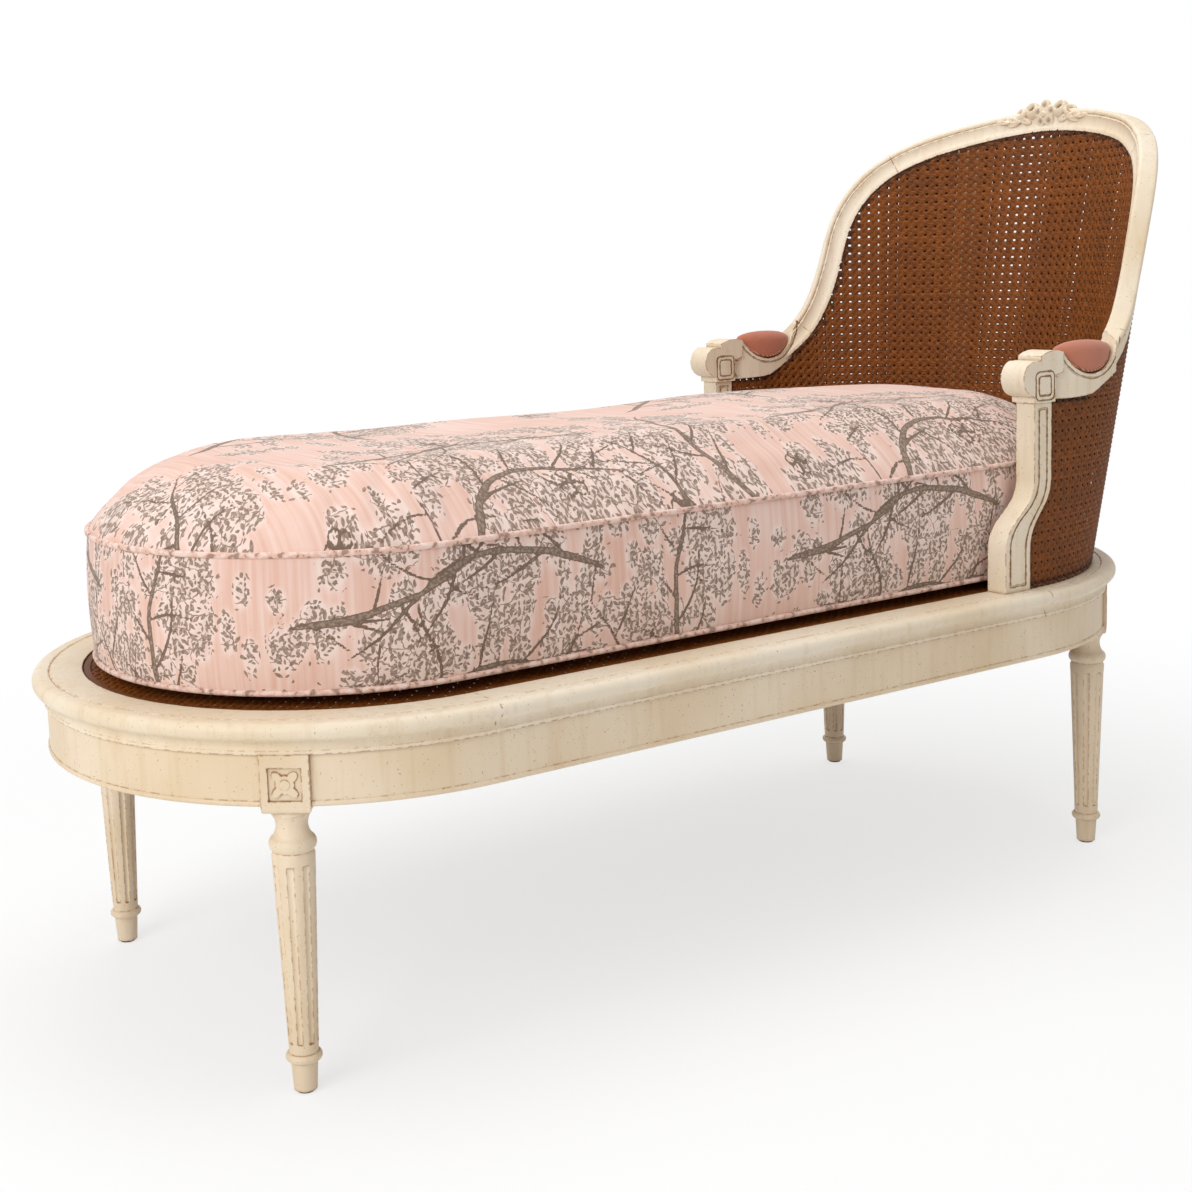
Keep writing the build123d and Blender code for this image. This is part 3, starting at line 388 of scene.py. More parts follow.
# Stained cane: satin, each strand its own brown, darker near its ends where it turns into its
# drilled hole; that darkening is partly painted shade, for the shade under the rails and stiles
def stained_cane():
    material, tree, shader, place = new_material("stained_split_cane")
    tone = add_node(tree, "ShaderNodeAttribute", {}, attribute_name="tone")
    brown = coat(tree, linear("6B390D"), "874A15", tone.outputs["Fac"])
    fade = add_node(tree, "ShaderNodeTexNoise", {"Vector": place, "Scale": faded_patches, "Detail": 4.0})
    brown = coat(tree, brown, "5A3015", fade, 0.4, 0.75, 0.45)
    end_stain_and_shade = add_node(tree, "ShaderNodeAttribute", {}, attribute_name="end_stain_and_shade")
    brown = coat(tree, brown, "33190A", end_stain_and_shade.outputs["Fac"], 0.0, 1.0, 0.8)
    feed(tree, shader, {"Base Color": brown, "Roughness": 0.55, "Specular IOR Level": 0.22})
    return material


cane = stained_cane()
for name in ("back_base_rail", "back_rib_left", "back_rib_right"):
    dress(nodes[name], cream_paint if name.startswith("back_rib") else cane)
    smooth_rigid(nodes[name])


# Follows one strand over the panel and keeps each stretch that lies on it, cut off at its edge
def strand_runs(spot, start, step, count, heights):
    runs, run = [], []

    def edge(inside, outside):
        for _ in range(edge_halvings):
            middle = (inside + outside) / 2
            if spot(*(start + step * middle)):
                inside = middle
            else:
                outside = middle
        point, normal = spot(*(start + step * inside))
        return inside, point, normal

    previous = None
    for index in range(count):
        found = spot(*(start + step * index))
        if found:
            if previous is None and index:
                where, point, normal = edge(index, index - 1)
                run = [(point, normal, 0.0)]
                if abs(where - index) < least_stub:
                    run = []
            run.append((found[0], found[1], heights[index % len(heights)]))
        elif run:
            where, point, normal = edge(index - 1, index)
            if abs(where - index + 1) > least_stub:
                run.append((point, normal, 0.0))
            if len(run) > 1:
                runs.append(run)
            run = []
        previous = found
    if len(run) > 1:
        runs.append(run)
    return runs


# Lays out the strands of a panel by family, each with the way it dips under and over
def lay_strands(spot, size_u, size_v, width):
    half = cane_pitch / 2
    count_u, count_v = int(size_u / cane_pitch) + 1, int(size_v / cane_pitch) + 1
    shift = (width + pair_gap) / 2
    families = {"uprights": [], "rows": [], "diagonals": []}
    for column in range(count_u + 1):
        for side in (1, -1):
            start = np.array((column * cane_pitch + side * shift - size_u / 2, 0.0))
            lift = pair_weave * side * (-1) ** column
            families["uprights"] += strand_runs(spot, start, np.array((0.0, half)), 2 * count_v + 2,
                                                (lift, 0.0, -lift, 0.0))
    for row in range(count_v + 1):
        for side in (1, -1):
            start = np.array((-size_u / 2, row * cane_pitch + side * shift))
            lift = -pair_weave * side * (-1) ** row
            families["rows"] += strand_runs(spot, start, np.array((half, 0.0)), 2 * count_u + 2,
                                            (lift, 0.0, -lift, 0.0))
    for lean in (1, -1):
        for index in range(-count_v - 1, count_u + 1 if lean > 0 else count_u + count_v + 1):
            start = np.array(((index + 0.5) * cane_pitch - size_u / 2, 0.0))
            families["diagonals"] += strand_runs(spot, start, np.array((lean * half, half)), 2 * count_v + 2,
                                                 (lean * diagonal_weave, -lean * diagonal_weave))
    return families


def woven_panel(name, spot, size_u, size_v, replaced, seed, width):
    chance = random.Random(seed)
    for family, runs in lay_strands(spot, size_u, size_v, width).items():
        points, faces, tones, end_stains_and_shade = [], [], [], []
        for run in runs:
            tone = chance.random()
            centres = [point + normal * lift for point, normal, lift in run]
            first = len(points)
            for index, (centre, (_, normal, _)) in enumerate(zip(centres, run)):
                ahead = centres[min(index + 1, len(run) - 1)] - centres[max(index - 1, 0)]
                ahead.normalize()
                if index == 0:
                    centre = centre - ahead * strand_overlap
                if index == len(run) - 1:
                    centre = centre + ahead * strand_overlap
                aside = ahead.cross(normal).normalized() * (width / 2)
                points += [centre - aside, centre + normal * strand_rise, centre + aside]
                tones += [tone] * 3
                # The last places at each end are darker: partly the stain at the holes, partly painted shade
                end_stains_and_shade += [1.0 if min(index, len(run) - 1 - index) < rim_places else 0.0] * 3
            for index in range(len(run) - 1):
                a = first + 3 * index
                faces += [(a, a + 1, a + 4, a + 3), (a + 1, a + 2, a + 5, a + 4), (a + 2, a, a + 3, a + 5)]
            last = len(points) - 3
            faces += [(first, first + 2, first + 1), (last, last + 1, last + 2)]
        mesh = bpy.data.meshes.new(f"{name}_{family}")
        mesh.from_pydata([tuple(point) for point in points], [], faces)
        mesh.attributes.new("tone", "FLOAT", "POINT").data.foreach_set("value", tones)
        mesh.attributes.new("end_stain_and_shade", "FLOAT", "POINT").data.foreach_set("value", end_stains_and_shade)
        panel = add_object(f"{name}_{family}", mesh)
        dress(panel, cane)
        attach(panel, "frame")
    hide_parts(replaced)


# Seat cane lies flat on the ledge inside the seat cap, and its strands end under the binder,
# a wider flat strand that is laced down over the holes.
seat_low, seat_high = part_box("seat_cane")
seat_round = seat_high.y
seat_straight = seat_high.x - seat_middle - seat_round
seat_height = (seat_low.z + seat_high.z) / 2
under_binder = 0.002


def seat_spot(u, v):
    x, y = u, v - seat_round
    reach = Vector((max(abs(x) - seat_straight, 0), y, 0)).length
    if reach > seat_round - under_binder:
        return None
    return Vector((x + seat_middle, y, seat_height)), Vector((0, 0, 1))


woven_panel("seat_weave", seat_spot, 2 * (seat_straight + seat_round), 2 * seat_round, "seat_cane",
            seed=3, width=seat_strand)
dress(nodes["seat_cane_binder"], cane)
smooth_rigid(nodes["seat_cane_binder"])

# The back has two woven skins over a hollow. Uprights stand on straight lines from the seat
# to the rail, and rows are level. Past the half round, each skin runs on a little to the arms.
head_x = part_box("seat_cap_head")[0].x
cane_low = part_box("back_cane_inner")[0].z
cane_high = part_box("back_cane_inner")[1].z
back_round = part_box("back_base_rail")[1].y
quarter_run = back_round * math.pi / 2
wing_run = 0.08
wing_reach = 0.1
first_row = 0.0005
skin_depth = 0.0012


def back_panel(name, node, facing, seed):
    skin = surface_of(nodes[node].data)

    def spot(u, v):
        turn = max(-quarter_run, min(quarter_run, u)) / back_round
        origin = Vector((head_x - max(0.0, abs(u) - quarter_run), 0, cane_low + max(v, first_row)))
        out = Vector((math.cos(turn), math.sin(turn), 0))
        point, normal, _, _ = skin.ray_cast(origin, out)
        if point is None or point.x < head_x - wing_reach:
            return None
        normal = normal if normal.dot(out) < 0 else -normal
        return point - normal * skin_depth, normal * -facing

    woven_panel(name, spot, 2 * quarter_run + 2 * wing_run, cane_high - cane_low, node, seed, back_strand)


back_panel("back_weave_inner", "back_cane_inner", facing=-1, seed=5)
back_panel("back_weave_outer", "back_cane_outer", facing=1, seed=7)

# The squab is a boxed cushion of printed cotton over feather and down: a top and a bottom
# panel, a band 146 mm high between them and a fine piped cord in both seams. The cover is
# sewn flat and swells when it is filled.
squab_low, squab_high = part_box("seat_cushion")
piping_radius = 0.0034
squab_round = squab_high.y - piping_radius
squab_straight = seat_straight
band_height = 0.146
band_swell = 0.004
belly = 0.016
belly_edge = 0.045
crown = squab_high.z - squab_low.z - band_height - belly
crown_fill = 0.002
crown_shoulder = 0.8 * squab_round
crown_fullness = 7
settled_dents = 0.006
dents_along, dents_across, dents_drift = 4, 5, 1.7
cell = 0.0105
end_share = 0.9
swell_limit = 0.012
filling_frames = 20


def squab_grid():
    rows = 2 * round(squab_round / cell)
    middle = 2 * round(squab_straight / cell)
    cap = round(squab_round * end_share / cell)
    plan = []
    for column in range(-cap, middle + cap + 1):
        line = []
        for row in range(rows + 1):
            q = 2 * row / rows - 1
            if column < 0 or column > middle:
                p = (-column if column < 0 else column - middle) / cap
                x = squab_round * p * math.sqrt(1 - q * q / 2)
                y = squab_round * q * math.sqrt(1 - p * p / 2)
                x = -squab_straight - x if column < 0 else squab_straight + x
            else:
                x = -squab_straight + 2 * squab_straight * column / middle
                y = squab_round * q
            line.append((x, y))
        plan.append(line)
    return plan


def squab_depth(x, y):
    return squab_round - math.hypot(max(abs(x) - squab_straight, 0), y)


def squab_mesh():
    plan = squab_grid()
    columns, rows = len(plan), len(plan[0])
    points, faces, panels = [], [], []
    seam_high = squab_high.z - crown
    seam_low = squab_low.z + belly
    index = {}
    for level in ("top", "bottom"):
        for i, line in enumerate(plan):
            for j, (x, y) in enumerate(line):
                depth = max(squab_depth(x, y), 0)
                if level == "top":
                    rise = 1 - (1 - min(depth / crown_shoulder, 1)) ** crown_fullness
                    z = seam_high + (crown + crown_fill) * rise
                    dent = Vector((x * dents_along, y * dents_across, dents_drift))
                    z += settled_dents * rise * noise.noise(dent)
                else:
                    z = seam_low - belly * math.sin(math.pi / 2 * min(depth / belly_edge, 1))
                index[level, i, j] = len(points)
                points.append((x + seat_middle, y, z))
    for i in range(columns - 1):
        for j in range(rows - 1):
            corner = [(i, j), (i + 1, j), (i + 1, j + 1), (i, j + 1)]
            faces.append([index["top", a, b] for a, b in corner])
            panels.append("top")
            faces.append([index["bottom", a, b] for a, b in reversed(corner)])
            panels.append("bottom")
    border = [(i, 0) for i in range(columns - 1)] + [(columns - 1, j) for j in range(rows - 1)]
    border += [(i, rows - 1) for i in range(columns - 1, 0, -1)] + [(0, j) for j in range(rows - 1, 0, -1)]
    # The band's own seam is at the head end, where the back hides it
    head_end = columns - 1 + (rows - 1) // 2
    border = border[head_end:] + border[:head_end]
    seams = {name: [index[panel, i, j] for i, j in border]
             for name, panel in (("low", "bottom"), ("high", "top"))}
    levels = round(band_height / cell)
    rings = [seams["low"]]
    for level in range(1, levels):
        share = level / levels
        ring = []
        for low, high in zip(seams["low"], seams["high"]):
            a, b = Vector(points[low]), Vector(points[high])
            x = a.x - seat_middle
            out = Vector((max(abs(x) - squab_straight, 0) * math.copysign(1, x), a.y, 0)).normalized()
            spot = a.lerp(b, share) + out * band_swell * math.sin(math.pi * share)
            ring.append(len(points))
            points.append(tuple(spot))
        rings.append(ring)
    rings.append(seams["high"])
    for low, high in zip(rings, rings[1:]):
        for k in range(len(low)):
            n = (k + 1) % len(low)
            faces.append([low[k], low[n], high[n], high[k]])
            panels.append("band")
    return points, faces, panels, seams, rings


points, faces, panels, seams, rings = squab_mesh()
mesh = bpy.data.meshes.new("squab")
mesh.from_pydata(points, [], faces)
squab = add_object("squab", mesh)

# The cloth lies flat on the panels and runs round the band from its seam
chart = mesh.uv_layers.new(name="cloth")
ring = seams["high"]
lengths = [0.0]
for k in range(len(ring)):
    step = Vector(points[ring[(k + 1) % len(ring)]]) - Vector(points[ring[k]])
    lengths.append(lengths[-1] + step.length)
run_of = {vertex: k for level in rings for k, vertex in enumerate(level)}
for polygon, panel in zip(mesh.polygons, panels):
    corners = [mesh.loops[loop].vertex_index for loop in polygon.loop_indices]
    for loop, vertex in zip(polygon.loop_indices, corners):
        if panel == "band":
            k = run_of[vertex]
            if k == 0 and any(run_of[v] == len(ring) - 1 for v in corners):
                k = len(ring)
            chart.data[loop].uv = (lengths[k], points[vertex][2])
        else:
            chart.data[loop].uv = (points[vertex][0], points[vertex][1])

# Filled and settled: air pressure swells the cover between its seams
pins = squab.vertex_groups.new(name="seams")
pins.add(seams["low"] + seams["high"], 1.0, "REPLACE")
cloth = squab.modifiers.new("fill", "CLOTH")
cloth.settings.quality = 5
cloth.settings.mass = 0.3
cloth.settings.tension_stiffness = 15
cloth.settings.compression_stiffness = 15
cloth.settings.bending_stiffness = 0.6
cloth.settings.vertex_group_mass = "seams"
cloth.settings.use_pressure = True
cloth.settings.uniform_pressure_force = 4
cloth.settings.effector_weights.gravity = 0
for frame_number in range(1, filling_frames + 1):
    scene.frame_set(frame_number)
settled = squab.evaluated_get(bpy.context.evaluated_depsgraph_get())
sewn = np.array(points)
shift = np.array([v.co[:] for v in settled.data.vertices]) - sewn
length = np.linalg.norm(shift, axis=1, keepdims=True)
shift *= np.minimum(1, swell_limit / np.maximum(length, 1e-9))
filled = sewn + shift
filled[:, 2] = np.maximum(filled[:, 2], squab_low.z)
squab.modifiers.remove(cloth)
mesh.vertices.foreach_set("co", filled.ravel())
mesh.update()
scene.frame_set(1)


# A round cord through the given places, closed on itself
def closed_cord(name, places, radius, smoothness):
    curve = bpy.data.curves.new(name, "CURVE")
    curve.dimensions = "3D"
    curve.bevel_depth = radius
    curve.bevel_resolution = 3
    spline = curve.splines.new("NURBS")
    spline.points.add(len(places) - 1)
    for point, place in zip(spline.points, places):
        point.co = (*place, 1)
    spline.use_cyclic_u = True
    spline.order_u = 3
    spline.resolution_u = smoothness
    cord = add_object(name, curve)
    bpy.context.view_layer.objects.active = cord
    cord.select_set(True)
    bpy.ops.object.convert(target="MESH")
    cord.select_set(False)
    return cord


# Piped cord of the same cotton, sewn into both seams
pipings = []
for name in ("low", "high"):
    seam = [mesh.vertices[vertex].co.copy() for vertex in seams[name]]
    piping = closed_cord(f"squab_piping_{name}", seam, piping_radius, smoothness=2)
    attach(piping, "squab")
    pipings.append(piping)

bpy.context.view_layer.objects.active = squab
round_off = squab.modifiers.new("round", "SUBSURF")
round_off.levels = round_off.render_levels = 2
bpy.ops.object.modifier_apply(modifier=round_off.name)
smooth_faces(squab)

# The print is one engraved plate, 640 mm square, repeated over every panel. It is kept as two
# fields over the repeat: how far inside a drawn line a place is, in metres, and how thick the
# leaves stand there.
plate = 0.64
plate_cells = 320
plate_x, plate_y = np.meshgrid(np.arange(plate_cells) * plate / plate_cells,
                               np.arange(plate_cells) * plate / plate_cells, indexing="ij")
drawn = np.full((plate_cells, plate_cells), -1.0)
leafy = np.zeros((plate_cells, plate_cells))
draw = random.Random(11)
bough_half = 0.0050
bough_step = 0.014
bough_depth = 2
petal_line = 0.0013
# Of each bough: its root as shares of the plate, heading, length as a share, and bend
boughs = ((0.04, 0.10, 0.5, 0.62, 1.3), (0.40, 0.04, 1.9, 0.5, -1.2), (0.62, 0.30, 0.4, 0.55, 1.4),
          (0.95, 0.52, 2.2, 0.5, -1.5), (0.30, 0.52, 0.9, 0.5, -1.0), (0.72, 0.80, 2.6, 0.55, 1.2),
          (0.14, 0.76, 0.2, 0.4, 1.1))
# Of each flower: its place as shares of the plate, and its size in metres
flowers = ((0.22, 0.34, 0.011), (0.27, 0.38, 0.008), (0.56, 0.62, 0.012), (0.86, 0.22, 0.011),
           (0.90, 0.27, 0.008), (0.44, 0.90, 0.011), (0.08, 0.60, 0.009), (0.76, 0.55, 0.01))
# Where low ground with grass stands, as shares of the plate
grounds = ((0.16, 0.04), (0.52, 0.24), (0.82, 0.42), (0.30, 0.66), (0.62, 0.96), (0.95, 0.88))


def from_spot(x, y):
    return (plate_x - x + plate / 2) % plate - plate / 2, (plate_y - y + plate / 2) % plate - plate / 2


def draw_line(a, b, half_a, half_b):
    ahead_x, ahead_y = b[0] - a[0], b[1] - a[1]
    away_x, away_y = from_spot((a[0] + b[0]) / 2, (a[1] + b[1]) / 2)
    away_x, away_y = away_x + ahead_x / 2, away_y + ahead_y / 2
    along = np.clip((away_x * ahead_x + away_y * ahead_y) / (ahead_x ** 2 + ahead_y ** 2), 0, 1)
    away = np.hypot(away_x - along * ahead_x, away_y - along * ahead_y)
    np.maximum(drawn, half_a + (half_b - half_a) * along - away, out=drawn)


def draw_tuft(x, y, wide, high, thick):
    away_x, away_y = from_spot(x, y)
    np.maximum(leafy, thick * np.exp(-((away_x / wide) ** 2 + (away_y / high) ** 2) ** 2), out=leafy)


# A bough wanders, tapers to its tip, throws twigs to both sides and hangs tufts on the thin ones
def draw_bough(x, y, heading, length, half, bend, depth):
    count = max(3, round(length / bough_step))
    for step in range(count):
        share = step / count
        heading += bend / count + draw.uniform(-0.16, 0.16)
        tip = (x + math.cos(heading) * length / count, y + math.sin(heading) * length / count)
        swell = [min(1, 0.35 + 5 * place) * (1 - 0.78 * place) for place in (share, share + 1 / count)]
        draw_line((x, y), tip, half * swell[0], half * swell[1])
        x, y = tip
        if depth and step % 2 == 1 and step > 1:
            side = 1 if step % 4 == 1 else -1
            draw_bough(x, y, heading + side * draw.uniform(0.6, 1.2), length * draw.uniform(0.22, 0.4),
                       half * (0.55 - 0.2 * share), side * draw.uniform(-0.6, 1.0), depth - 1)
        if depth < 2 and step > 0 and draw.random() < 0.5:
            draw_tuft(x + draw.uniform(-0.012, 0.012), y - draw.uniform(-0.006, 0.020),
                      draw.uniform(0.009, 0.016), draw.uniform(0.013, 0.026), draw.uniform(0.75, 1.15))


def draw_flower(x, y, size):
    for petal in range(5):
        turn = 2 * math.pi * petal / 5 + 0.3
        away_x, away_y = from_spot(x + math.cos(turn) * size, y + math.sin(turn) * size)
        ring = np.abs(np.hypot(away_x, away_y) - 0.72 * size)
        np.maximum(drawn, petal_line - ring, out=drawn)
    away_x, away_y = from_spot(x, y)
    np.maximum(drawn, 0.32 * size - np.hypot(away_x, away_y), out=drawn)


for x, y, heading, length, bend in boughs:
    draw_bough(x * plate, y * plate, heading, length * plate, bough_half, bend, bough_depth)
for x, y, size in flowers:
    draw_flower(x * plate, y * plate, size)
    draw_tuft(x * plate, y * plate - 0.03, wide=0.03, high=0.014, thick=1.0)
for x, y in grounds:
    draw_bough(x * plate - 0.05, y * plate, heading=0.1, length=0.1, half=0.0016, bend=-0.3, depth=0)
    for blade in range(5):
        draw_tuft(x * plate + (blade - 2) * 0.02, y * plate + 0.008, wide=0.012, high=0.012, thick=1.0)


def read_plate(field, places):
    spot = (places / plate * plate_cells) % plate_cells
    low = np.floor(spot).astype(int)
    part = spot - low
    low, high = low % plate_cells, (low + 1) % plate_cells
    near = field[low[:, 0], low[:, 1]] * (1 - part[:, 1]) + field[low[:, 0], high[:, 1]] * part[:, 1]
    far = field[high[:, 0], low[:, 1]] * (1 - part[:, 1]) + field[high[:, 0], high[:, 1]] * part[:, 1]
    return near * (1 - part[:, 0]) + far * part[:, 0]


places = np.empty(len(squab.data.loops) * 2)
squab.data.uv_layers["cloth"].data.foreach_get("uv", places)
places = places.reshape(-1, 2)
for name, field in (("drawn", drawn), ("leafy", leafy)):
    values = squab.data.attributes.new(name, "FLOAT", "CORNER")
    values.data.foreach_set("value", read_plate(field, places))


# One layer of printed leaves: a stroke turned at random round each point of a scatter, kept
# where the plate stands thick with leaves
def leaf_strokes(tree, cloth, leaves, spacing, length, width, skew, spread):
    shifted = add_node(tree, "ShaderNodeVectorMath", {0: cloth, 1: (skew, skew * 0.7, 0)}, operation="ADD")
    cells = add_node(tree, "ShaderNodeTexVoronoi", {"Vector": shifted, "Scale": 1 / spacing,
                                                    "Randomness": 0.75}, voronoi_dimensions="2D")
    local = add_node(tree, "ShaderNodeVectorMath", {0: shifted, 1: cells.outputs["Position"]},
                     operation="SUBTRACT")
    chance = add_node(tree, "ShaderNodeSeparateColor", {"Color": cells.outputs["Color"]})
    angle = add_node(tree, "ShaderNodeMath", {0: chance.outputs["Red"], 1: spread, 2: (math.pi - spread) / 2},
                     operation="MULTIPLY_ADD")
    turned = add_node(tree, "ShaderNodeVectorRotate", {"Vector": local, "Angle": angle},
                      rotation_type="Z_AXIS")
    parts = add_node(tree, "ShaderNodeSeparateXYZ", {"Vector": turned})
    along = add_node(tree, "ShaderNodeMath", {0: parts.outputs["X"], 1: 1 / length}, operation="MULTIPLY")
    taper = add_node(tree, "ShaderNodeMath", {0: along, 1: 2.0}, operation="POWER")
    half = add_node(tree, "ShaderNodeMath", {0: taper, 1: -width, 2: width}, operation="MULTIPLY_ADD")
    across = add_node(tree, "ShaderNodeMath", {0: parts.outputs["Y"]}, operation="ABSOLUTE")
    inside = add_node(tree, "ShaderNodeMath", {0: across, 1: half}, operation="LESS_THAN")
    kept = add_node(tree, "ShaderNodeMath", {0: chance.outputs["Green"], 1: leaves}, operation="LESS_THAN")
    return add_node(tree, "ShaderNodeMath", {0: inside, 1: kept}, operation="MULTIPLY")


# The ink on the cloth: a paler ground where leaves stand, slubs in the threads, and a grey
# brown ink that is dark at the edge of a bough and thin inside it. Cells to the metre.
slubs_across, slubs_along = 150.0, 5.0  # 7 mm apart and 200 mm long
ink_grain = 260.0  # 4 mm
line_waver = 0.0022
twig_bends = 70.0  # 14 mm
twig_sway = 0.016
twig_net = 42.0  # forks 24 mm apart
twig_line = 0.028
twig_leaves = 0.35


def engraved_print(tree, colour):
    cloth = add_node(tree, "ShaderNodeUVMap", {}, uv_map="cloth").outputs["UV"]
    leaves = add_node(tree, "ShaderNodeAttribute", {}, attribute_name="leafy").outputs["Fac"]
    depth = add_node(tree, "ShaderNodeAttribute", {}, attribute_name="drawn").outputs["Fac"]
    threads = add_node(tree, "ShaderNodeMapping", {"Vector": cloth,
                                                   "Scale": (slubs_across, slubs_along, 1.0)})
    slubs = add_node(tree, "ShaderNodeTexNoise", {"Vector": threads, "Scale": 1.0, "Detail": 3.0})
    colour = coat(tree, colour, "F3E0D8", slubs, 0.45, 0.75, 0.5)
    colour = coat(tree, colour, "D9A894", slubs, 0.48, 0.3, 0.4)
    colour = coat(tree, colour, "F4E6DF", leaves, 0.05, 0.6, 0.5)
    colour = coat(tree, colour, "C4AB9D", leaves, 0.6, 1.0, 0.3)
    grain = add_node(tree, "ShaderNodeTexNoise", {"Vector": cloth, "Scale": ink_grain, "Detail": 3.0})
    waver = add_node(tree, "ShaderNodeMath", {0: grain, 1: line_waver, 2: -line_waver / 2},
                     operation="MULTIPLY_ADD")
    depth = add_node(tree, "ShaderNodeMath", {0: depth, 1: waver}, operation="ADD")
    small = leaf_strokes(tree, cloth, leaves, spacing=0.0064, length=0.0032, width=0.0013, skew=0.31,
                         spread=3.0)
    large = leaf_strokes(tree, cloth, leaves, spacing=0.0095, length=0.0052, width=0.0021, skew=0.0,
                         spread=2.2)
    bends = add_node(tree, "ShaderNodeTexNoise", {"Vector": cloth, "Scale": twig_bends, "Detail": 2.0})
    bent = add_node(tree, "ShaderNodeVectorMath", {0: bends.outputs["Color"], 1: (twig_sway, twig_sway, 0),
                                                   2: cloth}, operation="MULTIPLY_ADD")
    net = add_node(tree, "ShaderNodeTexVoronoi", {"Vector": bent, "Scale": twig_net}, voronoi_dimensions="2D",
                   feature="DISTANCE_TO_EDGE")
    twigs = add_node(tree, "ShaderNodeMath", {0: net, 1: twig_line}, operation="LESS_THAN")
    near = add_node(tree, "ShaderNodeMath", {0: leaves, 1: twig_leaves}, operation="GREATER_THAN")
    twigs = add_node(tree, "ShaderNodeMath", {0: twigs, 1: near}, operation="MULTIPLY")
    strokes = add_node(tree, "ShaderNodeMath", {0: small, 1: large}, operation="MAXIMUM")
    strokes = add_node(tree, "ShaderNodeMath", {0: strokes, 1: twigs}, operation="MAXIMUM")
    strength = add_node(tree, "ShaderNodeMapRange", {"Value": grain, "From Min": 0.3, "From Max": 0.6,
                                                     "To Min": 0.6})
    strokes = add_node(tree, "ShaderNodeMath", {0: strokes, 1: strength}, operation="MULTIPLY")
    colour = coat(tree, colour, "87705F", strokes)
    bark = add_node(tree, "ShaderNodeMapRange", {"Value": grain, "From Min": 0.42, "From Max": 0.6,
                                                 "To Min": 0.1, "To Max": 0.9})
    bark = coat(tree, linear("705B4B"), "A08B7A", bark)
    inner = add_node(tree, "ShaderNodeMapRange", {"Value": depth, "From Min": 0.0008, "From Max": 0.0018})
    ink = add_node(tree, "ShaderNodeMixRGB", {"Fac": inner, "Color1": linear("725C4C"), "Color2": bark})
    line = add_node(tree, "ShaderNodeMapRange", {"Value": depth, "From Min": -0.0001, "From Max": 0.0002})
    return add_node(tree, "ShaderNodeMixRGB", {"Fac": line, "Color1": colour, "Color2": ink})


# Printed cotton: a matt plain weave, pink and a little faded in hand-wide patches. The cord's
# own cotton shows the print only as dashes, pale and brown. Patterns are in cells to the metre.
dye_patches = 7.0  # 140 mm wide
cord_dashes = 120.0  # 8 mm
cotton_threads = 900.0  # 1.1 mm, twice the real spacing, so that they show


def pink_cotton(name, ground, printed):
    material, tree, shader, place = new_material(name)
    patches = add_node(tree, "ShaderNodeTexNoise", {"Vector": place, "Scale": dye_patches, "Detail": 5.0})
    colour = coat(tree, linear(ground), "E0B6A4", patches, 0.35, 0.68)
    if printed:
        colour = engraved_print(tree, colour)
    else:
        dashes = add_node(tree, "ShaderNodeTexNoise", {"Vector": place, "Scale": cord_dashes, "Detail": 2.0})
        colour = coat(tree, colour, "EFDDD4", dashes, 0.5, 0.42, 0.6)
        colour = coat(tree, colour, "7A6253", dashes, 0.57, 0.62, 0.7)
    threads = add_node(tree, "ShaderNodeTexNoise", {"Vector": place, "Scale": cotton_threads, "Detail": 2.0})
    bump = add_node(tree, "ShaderNodeBump", {"Height": threads, "Strength": 0.25, "Distance": 0.0004})
    feed(tree, shader, {"Base Color": colour, "Normal": bump, "Roughness": 0.88, "Sheen Weight": 0.15})
    return material


dress(squab, pink_cotton("toile_printed_cotton", "E8C6B8", True))
cord_cotton = pink_cotton("pink_cotton_cord", "DDB8A8", False)
for piping in pipings:
    dress(piping, cord_cotton)
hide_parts("seat_cushion")
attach(squab, "squab")

# Arm pads are curled hair under a plain terracotta cloth, stuffed tight and nailed in the cup
# of each arm. A gimp braid 3 mm wide covers the nails.
pad_cell = 0.004
pad_strokes = 8
pad_swell = 0.003
pad_fade = 25.0  # to the metre: 40 mm wide
rep_cords = 320.0  # bands 1 mm apart
gimp_turns = 95.0  # bands 3.3 mm apart
braid_points = 14
braid_radius = 0.0015
braid_look = 0.0006
braid_levels = 80
braid_rise = 6
braid_side = 0.2
braid_end = 0.002


# Terracotta rep: matt, with fine cords and a faded bloom
def pad_cloth():
    material, tree, shader, place = new_material("terracotta_cotton_rep")
    fade = add_node(tree, "ShaderNodeTexNoise", {"Vector": place, "Scale": pad_fade, "Detail": 5.0})
    weave = add_node(tree, "ShaderNodeTexWave", {"Vector": place, "Scale": rep_cords})
    bump = add_node(tree, "ShaderNodeBump", {"Height": weave.outputs["Fac"], "Strength": 0.2,
                                             "Distance": 0.0005})
    feed(tree, shader, {"Base Color": coat(tree, linear("B0634A"), "C67C60", fade), "Normal": bump,
                        "Roughness": 0.9, "Sheen Weight": 0.3})
    return material


# Gimp: twisted cotton, brown between its turns
def twisted_gimp():
    material, tree, shader, place = new_material("cotton_gimp_braid")
    turns = add_node(tree, "ShaderNodeTexWave", {"Vector": place, "Scale": gimp_turns, "Distortion": 1.0},
                     bands_direction="DIAGONAL").outputs["Fac"]
    bump = add_node(tree, "ShaderNodeBump", {"Height": turns, "Strength": 0.4, "Distance": 0.0006})
    feed(tree, shader, {"Base Color": coat(tree, linear("7E4A33"), "D39A7E", turns), "Normal": bump,
                        "Roughness": 0.85})
    return material


